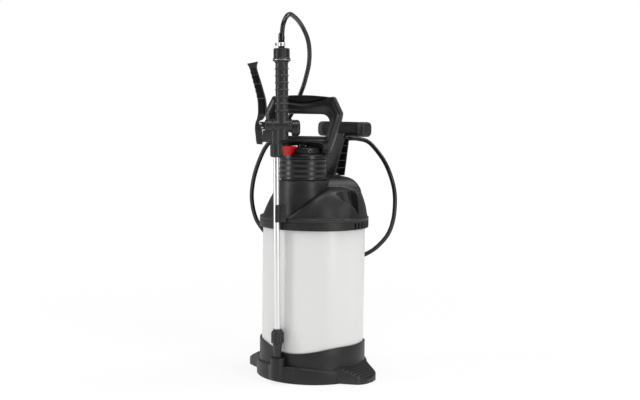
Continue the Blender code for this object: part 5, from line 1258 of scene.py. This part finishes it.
@dataclass
class CarryPost:
    """Raked post with ribbed pockets in both sides, and the T grip with its two end caps."""

    half_width: float = 0.0220
    web: float = 0.0060
    foot_z: float = 0.4008
    head_z: float = 0.4780
    foot: tuple[float, float] = (0.0340, 0.0735)
    head: tuple[float, float] = (0.0680, 0.0880)
    skins: tuple[float, float] = (0.0042, 0.0026)
    rib: float = 0.0022
    pockets: int = 5
    grip_y: float = 0.100
    grip_z: float = 0.4955

    def post(self) -> bpy.types.Object:
        """Sections up the post; a side wall steps in to the web wherever a pocket is open."""
        pitch = (self.head_z - self.foot_z - self.rib) / self.pockets
        edges = [self.foot_z]
        for i in range(self.pockets):
            low, high = self.foot_z + self.rib + i * pitch, self.foot_z + (i + 1) * pitch
            edges += [low - 0.0003, low + 0.0001, low + 0.0004, (low + high) / 2,
                      high - 0.0004, high - 0.0001, high + 0.0003]
        z = np.array(edges + [self.head_z - 0.0004, self.head_z])[:, None]
        low = self.foot_z + self.rib + np.arange(self.pockets) * pitch
        high = self.foot_z + (np.arange(self.pockets) + 1) * pitch
        open_here = np.any((z > low) & (z < high), axis=1, keepdims=True).astype(float)
        t = (z - self.foot_z) / (self.head_z - self.foot_z)
        front = self.foot[0] + (self.head[0] - self.foot[0]) * t
        rear = self.foot[1] + (self.head[1] - self.foot[1]) * t
        ease = 0.0012
        turn = np.linspace(0.0, math.pi / 2, 5)
        corner_y, corner_x = ease * (1 - np.sin(turn)), ease * (1 - np.cos(turn))
        half, deep = self.half_width, self.half_width - self.web
        a, b = self.skins
        wall_y = np.array([a - 0.0004, a, a + 0.0002, a + 0.0010])
        wall_x = np.array([0.0, 0.0004, 0.6 * deep, deep])
        y_front = np.concatenate([corner_y[::-1], wall_y])
        x_front = np.concatenate([corner_x[::-1], wall_x])
        sunk_front = np.concatenate([np.zeros(5), np.ones(4)])
        wall_y_rear = np.array([b + 0.0010, b + 0.0002, b, b - 0.0004])
        y_rear = np.concatenate([wall_y_rear, corner_y])
        x_rear = np.concatenate([wall_x[::-1], corner_x])
        x_side = np.concatenate([x_front, x_rear])[None, :]
        sunk = np.concatenate([sunk_front, sunk_front[::-1]])[None, :]
        x_side = np.where(sunk > 0, x_side * open_here, x_side)
        from_front = np.concatenate([np.ones(9), np.zeros(9)])[None, :]
        inward = np.concatenate([y_front, y_rear])[None, :]
        y_side = np.where(from_front > 0, front + inward, rear - inward)
        right = np.stack([half - x_side + 0.0 * y_side, y_side, z + 0.0 * y_side], -1)
        left = right[:, ::-1] * np.array([-1.0, 1.0, 1.0])
        return surface("carry_post_body", np.concatenate([right, left], 1), False, 30.0)

    def neck(self) -> bpy.types.Object:
        """The curved neck between the post's head and the grip."""
        z = np.linspace(self.head_z - 0.008, self.grip_z, 16)[:, None]
        t = (z - z[0]) / (z[-1] - z[0])
        middle = 0.0775 + (self.grip_y - 0.0775) * t**1.4
        deep, wide = 0.0092 - 0.0022 * t, 0.0140 - 0.0010 * t
        a = np.linspace(0.0, TAU, 48, endpoint=False)[None, :]
        round_x = np.sign(np.cos(a)) * np.abs(np.cos(a)) ** 0.45
        round_y = np.sign(np.sin(a)) * np.abs(np.sin(a)) ** 0.45
        grid = np.stack([wide * round_x, middle + deep * round_y, z + 0.0 * a], -1)
        return surface("carry_post_neck", grid, False)

    def bar(self, name: str, stations: Array) -> bpy.types.Object:
        """A bar along X: at each station (x, half depth, half height, rounding) a rounded section."""
        rows = []
        for x, deep, high, ease in stations:
            corners = [(-deep, -high), (deep, -high), (deep, high), (-deep, high)]
            line = eased(corners, ease, 9)
            rows.append(np.insert(line, 0, x, axis=1) + np.array([0.0, self.grip_y, self.grip_z]))
        return surface(name, np.stack(rows), False, 40.0)

    def build(self) -> None:
        """Makes and dresses the post's pieces."""
        dress(self.post(), MOULDED, "carry_post")
        dress(self.neck(), MOULDED)
        x = np.linspace(-0.0432, 0.0432, 41)
        swell = 0.0003 * np.cos(math.pi * x / 0.0864)
        edge = 0.0005 * (np.abs(x) > 0.0430)
        stations = np.stack([x, 0.0166 + swell - edge, 0.0151 + swell - edge, 0.0125 + 0.0 * x], -1)
        dress(self.bar("carry_grip_sleeve", stations), SOFT, "grip_sleeve")
        for side, sign in (("right", 1.0), ("left", -1.0)):
            t = np.linspace(0.0, math.pi / 2, 8)
            out = np.stack([0.0526 + 0.0064 * np.sin(t), 0.0170 - 0.0052 * (1 - np.cos(t)),
                            0.0155 - 0.0052 * (1 - np.cos(t)), 0.0110 - 0.0010 * t], -1)
            start = [(0.0433, 0.0162, 0.0147, 0.0122), (0.0434, 0.0168, 0.0153, 0.0120),
                     (0.0437, 0.0170, 0.0155, 0.0118)]
            stations = np.concatenate([start, out]) * np.array([sign, 1.0, 1.0, 1.0])
            dress(self.bar(f"carry_grip_end_{side}", stations), MOULDED, f"grip_cap_{side}")
            keep(f"post_screw_{side}", ZINC)


# ---- lance -------------------------------------------------------------------


def clamp(name: str, place: Place, at: tuple, middle: float, node: str) -> None:
    """A bright band with rolled edges, a raised worm housing and its screw.

    Args:
        name: the band's name, which starts the names of the housing and the screw.
        place: local frame.
        at: where the band's axis starts in that frame.
        middle: height of the band's middle.
        node: the node that the band replaces.
    """
    half = [(0.0063, 0.0036), (0.0072, 0.0036), (0.0074, 0.0028), (0.0070, 0.0020)]
    band = [(r, middle - h) for r, h in half] + [(r, middle + h) for r, h in half[::-1]]
    turned(name, band, 0.0004, ZINC, node, place, at, steps=4, sides=84)
    low = (at[0] - 0.0130, at[1] - 0.0030, middle - 0.0030)
    high = (at[0] - 0.0096, at[1] + 0.0030, middle + 0.0030)
    dress(block(name + "_housing", low, high, 0.0006, place), ZINC)
    screw = [(0.0003, -0.0052), (0.0021, -0.0052), (0.0021, -0.0034), (0.0015, -0.0034),
             (0.0015, 0.0040), (0.0003, 0.0040)]
    spot = (at[0] - 0.0100, at[1], middle)
    turned(name + "_screw", screw, 0.0004, ZINC, place=place, at=spot,
           steps=4, sides=32, along=Along.Y, solid=True)


@dataclass
class Lance:
    """The parked lance: nozzle, tube, valve body, ringed grip and hose end, along its leaning axis."""

    tube: float = 0.0060
    offset: float = 0.0115
    barrel_h: float = 0.4680
    bonnet_h: float = 0.4640
    grip_radius: float = 0.0129

    def ribs(self, count: int, depth: float, low: float, high: float) -> Ripple:
        """Flutes round a nut, cut between its ribs.

        Args:
            count: how many ribs.
            depth: how deep the flutes are.
            low: height where they start.
            high: height where they end.

        Returns:
            The change of radius as a function of height and angle.
        """

        def ripple(height: Array, angle: Array) -> Array:
            """Radius change at a height and an angle."""
            wave = 0.5 + 0.5 * np.cos(count * angle)
            band = (height > low) & (height < high)
            return -depth * (1.0 - step(0.10, 0.36, wave)) * band

        return ripple

    def nozzle(self) -> None:
        """Brass tip, tapered body and fluted nut."""
        tip = [(0.0016, 0.0004), (0.0040, 0.0), (0.0056, 0.0016), (0.0056, 0.0185), (0.0016, 0.0185)]
        turned("nozzle_tip_jet", tip, 0.0006, BRASS, "nozzle_tip", body=Body.NOZZLE, sides=48)
        body = [
            (0.0021, 0.0189), (0.0058, 0.0189), (0.0058, 0.0140), (0.0069, 0.0140), (0.0071, 0.0200),
            (0.0074, 0.0270), (0.0089, 0.0400), (0.0094, 0.0420), (0.0094, 0.0452), (0.0021, 0.0452),
        ]
        turned("nozzle_cone", body, 0.0008, LANCE_BLACK, "nozzle_body", sides=72)
        nut = [
            (0.0063, 0.0456), (0.0116, 0.0456), (0.0125, 0.0466), (0.0125, 0.0480), (0.0125, 0.0640),
            (0.0121, 0.0662), (0.0104, 0.0690), (0.0086, 0.0706), (0.0086, 0.0730), (0.0063, 0.0730),
        ]
        turned("nozzle_nut_fluted", nut, 0.0005, LANCE_BLACK, "nozzle_nut",
               steps=4, sides=192, ripple=self.ribs(12, 0.0013, 0.0472, 0.0650))

    def stem_tube(self) -> None:
        """The bright tube and the fluted nut that holds it in the valve."""
        line = [(0.0045, 0.0480), (self.tube, 0.0480), (self.tube, 0.4485), (0.0045, 0.4485)]
        turned("lance_tube_bright", line, 0.0003, STEEL, "lance_tube", sides=64)
        nut = [
            (0.0063, 0.4080), (0.0094, 0.4080), (0.0108, 0.4092), (0.0118, 0.4112), (0.0118, 0.4125),
            (0.0118, 0.4330), (0.0118, 0.4348), (0.0110, 0.4358), (0.0063, 0.4358),
        ]
        turned("lance_nut_fluted", nut, 0.0006, LANCE_BLACK, "lance_nut",
               steps=4, sides=180, ripple=self.ribs(10, 0.0012, 0.4120, 0.4335))

    def valve(self) -> None:
        """Lying barrel with its bonnet, the riser to the grip, and the tube's socket."""
        h = self.barrel_h
        barrel = [
            (0.0010, -0.0214), (0.0108, -0.0214), (0.0126, -0.0196), (0.0126, -0.0080), (0.0118, -0.0072),
            (0.0118, -0.0052), (0.0130, -0.0044), (0.0130, 0.0240), (0.0122, 0.0248), (0.0122, 0.0268),
            (0.0136, 0.0276), (0.0136, 0.0305), (0.0010, 0.0305),
        ]
        turned("valve_barrel", barrel, 0.0008, LANCE_BLACK, "valve_body", at=(0.0, 0.0, h),
               steps=4, along=Along.X, solid=True)
        bonnet = [
            (0.0010, 0.0298), (0.0138, 0.0298), (0.0152, 0.0306), (0.0156, 0.0322), (0.0156, 0.0352),
            (0.0150, 0.0357), (0.0150, 0.0363), (0.0156, 0.0368), (0.0156, 0.0400), (0.0150, 0.0430),
            (0.0130, 0.0452), (0.0090, 0.0464), (0.0010, 0.0466),
        ]
        turned("valve_bonnet_cap", bonnet, 0.0012, GLOSSED, "valve_bonnet", at=(0.0, 0.0, self.bonnet_h),
               steps=6, sides=120, along=Along.X, solid=True)
        riser = [(0.0010, 0.4400), (0.0100, 0.4400), (0.0124, 0.4420), (0.0124, 0.4842), (0.0010, 0.4842)]
        turned("valve_riser", riser, 0.0008, LANCE_BLACK, at=(self.offset, 0.0, 0.0), sides=84, solid=True)
        socket = [(0.0063, 0.4363), (0.0108, 0.4363), (0.0108, 0.4600), (0.0063, 0.4600)]
        turned("valve_socket", socket, 0.0008, LANCE_BLACK, sides=84)
        thin, wide = 0.0008, 0.0112
        ribs = [
            (f"valve_rib_{k}", (x - thin, -wide, h - 0.0136), (x + thin, wide, h + 0.0118), 0.0006)
            for k, x in enumerate((0.0075, 0.0150, 0.0225))
        ]
        for name, low, high, ease in (
            ("valve_block", (-0.0256, -0.0084, 0.4372), (-0.0062, 0.0084, 0.4600), 0.0006),
            ("valve_lug", (-0.0280, -0.0045, 0.4612), (-0.0180, 0.0045, 0.4735), 0.0008),
            *ribs,
            ("valve_web", (0.0130, -0.0078, 0.4558), (0.0312, 0.0078, 0.4640), 0.0020),
        ):
            dress(block(name, low, high, ease, LANCE_AXIS), LANCE_BLACK)
        keep("valve_stem", BRASS)

    def grip(self) -> None:
        """Ringed grip r = R + bumps at even heights, collar, fluted nut, sleeve and clamp."""
        at = (self.offset, 0.0, 0.0)
        z = np.linspace(0.4845, 0.5880, 300)
        low, pitch = 0.4838, (0.5905 - 0.4838) / 8
        place = (z - low) / pitch
        near = np.abs(place - np.round(place)) * pitch
        crest, trough = np.exp(-((near / 0.0009) ** 2)), np.exp(-(((near - 0.0024) / 0.0009) ** 2))
        bump = (0.0014 * crest - 0.0004 * trough) * ((place > 0.5) & (place < 7.6))
        waist = -0.00025 * np.cos(TAU * (place - 0.5))
        wall = np.stack([self.grip_radius + bump + waist, z], -1)
        collar = [(0.0134, 0.5892), (0.0144, 0.5904), (0.0162, 0.5912), (0.0170, 0.5918),
                  (0.0170, 0.5933), (0.0165, 0.5938)]
        foot, head = [(0.0071, 0.4843), (0.0127, 0.4843)], [(0.0071, 0.5938)]
        profile = np.concatenate([foot, wall, collar, head])
        washer = [(0.0100, 0.5939), (0.0171, 0.5939), (0.0171, 0.5946), (0.0100, 0.5946)]
        turned("grip_washer", washer, 0.0002, ZINC, at=at, sides=84)

        def ridge(height: Array, angle: Array) -> Array:
            """A flat strip down the front and the back of the grip."""
            turn = np.abs((angle + math.pi / 2 + math.pi) % math.pi - math.pi / 2)
            return -0.0006 * (1.0 - step(0.30, 0.42, turn)) * (height < 0.5880) * (height > 0.4850)

        piece = spun("lance_grip_ringed", profile, LANCE_AXIS, at, sides=144, looped=True, ripple=ridge)
        dress(piece, LANCE_BLACK, "lance_grip")
        nut = [
            (0.0054, 0.5950), (0.0168, 0.5950), (0.0170, 0.5956), (0.0168, 0.5970), (0.0156, 0.5978),
            (0.0156, 0.5990), (0.0156, 0.6130), (0.0150, 0.6152), (0.0136, 0.6160), (0.0054, 0.6160),
        ]
        turned("grip_nut_fluted", nut, 0.0006, LANCE_BLACK, "grip_nut", at=at,
               steps=4, sides=192, ripple=self.ribs(12, 0.0014, 0.5984, 0.6136))
        sleeve = [(0.0025, 0.6000), (0.0050, 0.6000), (0.0050, 0.6163), (0.0060, 0.6163),
                  (0.0060, 0.6290), (0.0060, 0.6303), (0.0025, 0.6303)]
        turned("hose_ferrule_sleeve", sleeve, 0.0004, SOFT, "hose_ferrule", at=at, steps=4, sides=64)
        cuff = [(0.0047, 0.6305), (0.0060, 0.6305), (0.0061, 0.6370), (0.0054, 0.6440), (0.0047, 0.6455)]
        turned("hose_cuff_lance", cuff, 0.0010, RUBBER, at=at, steps=6, sides=64)
        clamp("hose_clamp_band_lance", LANCE_AXIS, at, 0.6232, "hose_clamp_lance")

    def build(self) -> None:
        """Makes and dresses the lance."""
        self.nozzle()
        self.stem_tube()
        self.valve()
        self.grip()


@dataclass
class Trigger:
    """The lever: a limb between its two edges, hollowed between ribs, with cheeks on its pin."""

    half: float = 0.0085
    soft: float = 0.018
    pivot: tuple[float, float] = (-0.0266, 0.4650)
    left: Outline = field(default_factory=lambda: [
        (0.5868, -0.0548), (0.5820, -0.0516), (0.5762, -0.0492), (0.5550, -0.0436), (0.5380, -0.0392),
        (0.5207, -0.0352), (0.5050, -0.0342), (0.4920, -0.0343), (0.4825, -0.0362), (0.4772, -0.0382),
        (0.4730, -0.0396), (0.4650, -0.0405), (0.4590, -0.0403), (0.4480, -0.0391), (0.4380, -0.0382),
        (0.4330, -0.0366)])
    right: Outline = field(default_factory=lambda: [
        (0.5912, -0.0338), (0.5828, -0.0362), (0.5748, -0.0352), (0.5550, -0.0290), (0.5380, -0.0240),
        (0.5207, -0.0194), (0.5050, -0.0175), (0.4925, -0.0181), (0.4797, -0.0252), (0.4774, -0.0322),
        (0.4735, -0.0326), (0.4650, -0.0322), (0.4592, -0.0268), (0.4480, -0.0263), (0.4380, -0.0260),
        (0.4322, -0.0270)])

    def edges(self, share: Array) -> tuple[Array, Array, Array, Array]:
        """The two edges at shares of the way from the tip to the tail.

        Args:
            share: 0 at the tip to 1 at the tail.

        Returns:
            x and z of the left edge, then of the right one.
        """
        keys = np.linspace(0.0, 1.0, len(self.left))
        left_x, left_z, right_x, right_z = (
            curve(list(zip(keys, [point[k] for point in side])), share, self.soft)
            for side in (self.left, self.right) for k in (1, 0)
        )
        return left_x, left_z, right_x, right_z

    def limb(self) -> bpy.types.Object:
        """Rows from tip to tail; each is a rounded section between the edges, sunk between rims."""
        left_x, left_z, right_x, right_z = self.edges(np.linspace(0.0, 1.0, 260))
        waves = np.clip(np.sin(TAU * left_z / 0.0090), 0, 1)
        left_x = left_x - 0.0007 * waves * step(0.515, 0.522, left_z) * (1 - step(0.572, 0.578, left_z))
        w = np.concatenate([np.linspace(0.0, 1.0, 31), np.linspace(1.0, 0.0, 31)])[None, :]
        near = np.arange(62)[None, :] < 31
        width = np.hypot(right_x - left_x, right_z - left_z)[:, None]
        edge = np.minimum(w, 1 - w) * width
        ease = 0.0011
        drop = ease * (1 - np.sqrt(np.clip(1 - (1 - np.clip(edge / ease, 0, 1)) ** 2, 0, 1)))
        z = left_z[:, None] + (right_z - left_z)[:, None] * w
        x = left_x[:, None] + (right_x - left_x)[:, None] * w
        mask = step(0.0019, 0.0026, edge) * step(0.4900, 0.4908, z) * (1 - step(0.5776, 0.5784, z))
        for rib in (0.5200, 0.5485, 0.5660):
            mask = mask * np.clip(step(0.0008, 0.0014, np.abs(z - rib - 0.12 * (x + 0.033))), 0, 1)
        depth = self.half - drop - 0.0052 * mask
        y = np.where(near, -depth, depth)
        return surface("trigger_limb", LANCE_AXIS.world(np.stack([x, y, z], -1)), False, 45.0)

    def web(self) -> bpy.types.Object:
        """A darker sheet over the side pockets' floor as painted shade: a slimmer limb between the same edges.
        """
        left_x, left_z, right_x, right_z = self.edges(np.linspace(0.155, 0.462, 90))
        w = np.array([0.16, 0.84, 0.84, 0.16])[None, :]
        x = left_x[:, None] + (right_x - left_x)[:, None] * w
        z = left_z[:, None] + (right_z - left_z)[:, None] * w
        y = np.array([-1.0, -1.0, 1.0, 1.0])[None, :] * 0.0037 + 0.0 * x
        return surface("trigger_pocket_painted_shade", LANCE_AXIS.world(np.stack([x, y, z], -1)), False, 45.0)

    def build(self) -> None:
        """Makes and dresses the trigger's pieces."""
        dress(self.limb(), LANCE_BLACK, "trigger_lever", Body.TRIGGER)
        # The pockets' floor gets the darker soft finish: painted shade in the recess.
        dress(self.web(), SOFT, body=Body.TRIGGER)
        cheek = eased([(-0.0360, 0.4600), (-0.0300, 0.4588), (-0.0258, 0.4604), (-0.0230, 0.4630),
                       (-0.0230, 0.4676), (-0.0258, 0.4698), (-0.0318, 0.4722), (-0.0385, 0.4722)], 0.0018, 6)
        for side, low, high in (("near", -0.0085, -0.0053), ("far", 0.0053, 0.0085)):
            levels = round_levels(low, high, 0.0007)
            piece = column(f"trigger_cheek_{side}", cheek, levels, LANCE_AXIS, along=Along.Y)
            dress(piece, LANCE_BLACK, body=Body.TRIGGER)
        pin = [(0.0003, -0.0091), (0.0017, -0.0091), (0.0018, -0.0086), (0.0015, -0.0085),
               (0.0015, 0.0085), (0.0018, 0.0086), (0.0017, 0.0091), (0.0003, 0.0091)]
        at = (self.pivot[0], 0.0, self.pivot[1])
        turned("trigger_pivot_pin", pin, 0.0003, ZINC, "trigger_pin", at=at, body=Body.TRIGGER,
               steps=4, sides=40, along=Along.Y, solid=True)


@dataclass
class Outlet:
    """The outlet on the shelf: brass nut, stub, hose cuff and clamp."""

    spot: tuple[float, float, float] = (-0.048, 0.050, 0.0)

    def build(self) -> None:
        """Makes and dresses the outlet's pieces."""
        place = Place(self.spot)
        hexagon = eased(ring(0.0115, 6), 0.0008)
        nut = column("outlet_brass_nut", hexagon, round_levels(0.4008, 0.4088, 0.0007), place)
        dress(nut, BRASS, "outlet_nut")
        stub = [(0.0025, 0.3330), (0.0057, 0.3330), (0.0057, 0.4091), (0.0080, 0.4091),
                (0.0080, 0.4138), (0.0060, 0.4148), (0.0060, 0.4320), (0.0025, 0.4320)]
        turned("outlet_stub_barb", stub, 0.0004, MOULDED, "outlet_stub", place, steps=4, sides=64)
        cuff = [(0.0047, 0.4470), (0.0054, 0.4460), (0.0061, 0.4390), (0.0060, 0.4323), (0.0047, 0.4323)]
        turned("hose_cuff_tank", cuff, 0.0008, RUBBER, place=place, steps=6, sides=64)
        clamp("hose_clamp_band_tank", place, (0.0, 0.0, 0.0), 0.4234, "hose_clamp_tank")


def main() -> None:
    """Builds the sprayer's looks in order: camera and hose first, then every piece."""
    logging.basicConfig(level=logging.INFO, format="%(message)s")
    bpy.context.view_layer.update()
    Studio().build()
    for part in (Hose, Tank, FootRing, Hood, PumpTop, PumpHandle, CarryPost, Lance, Trigger, Outlet):
        part().build()


if __name__ == "__main__":
    main()
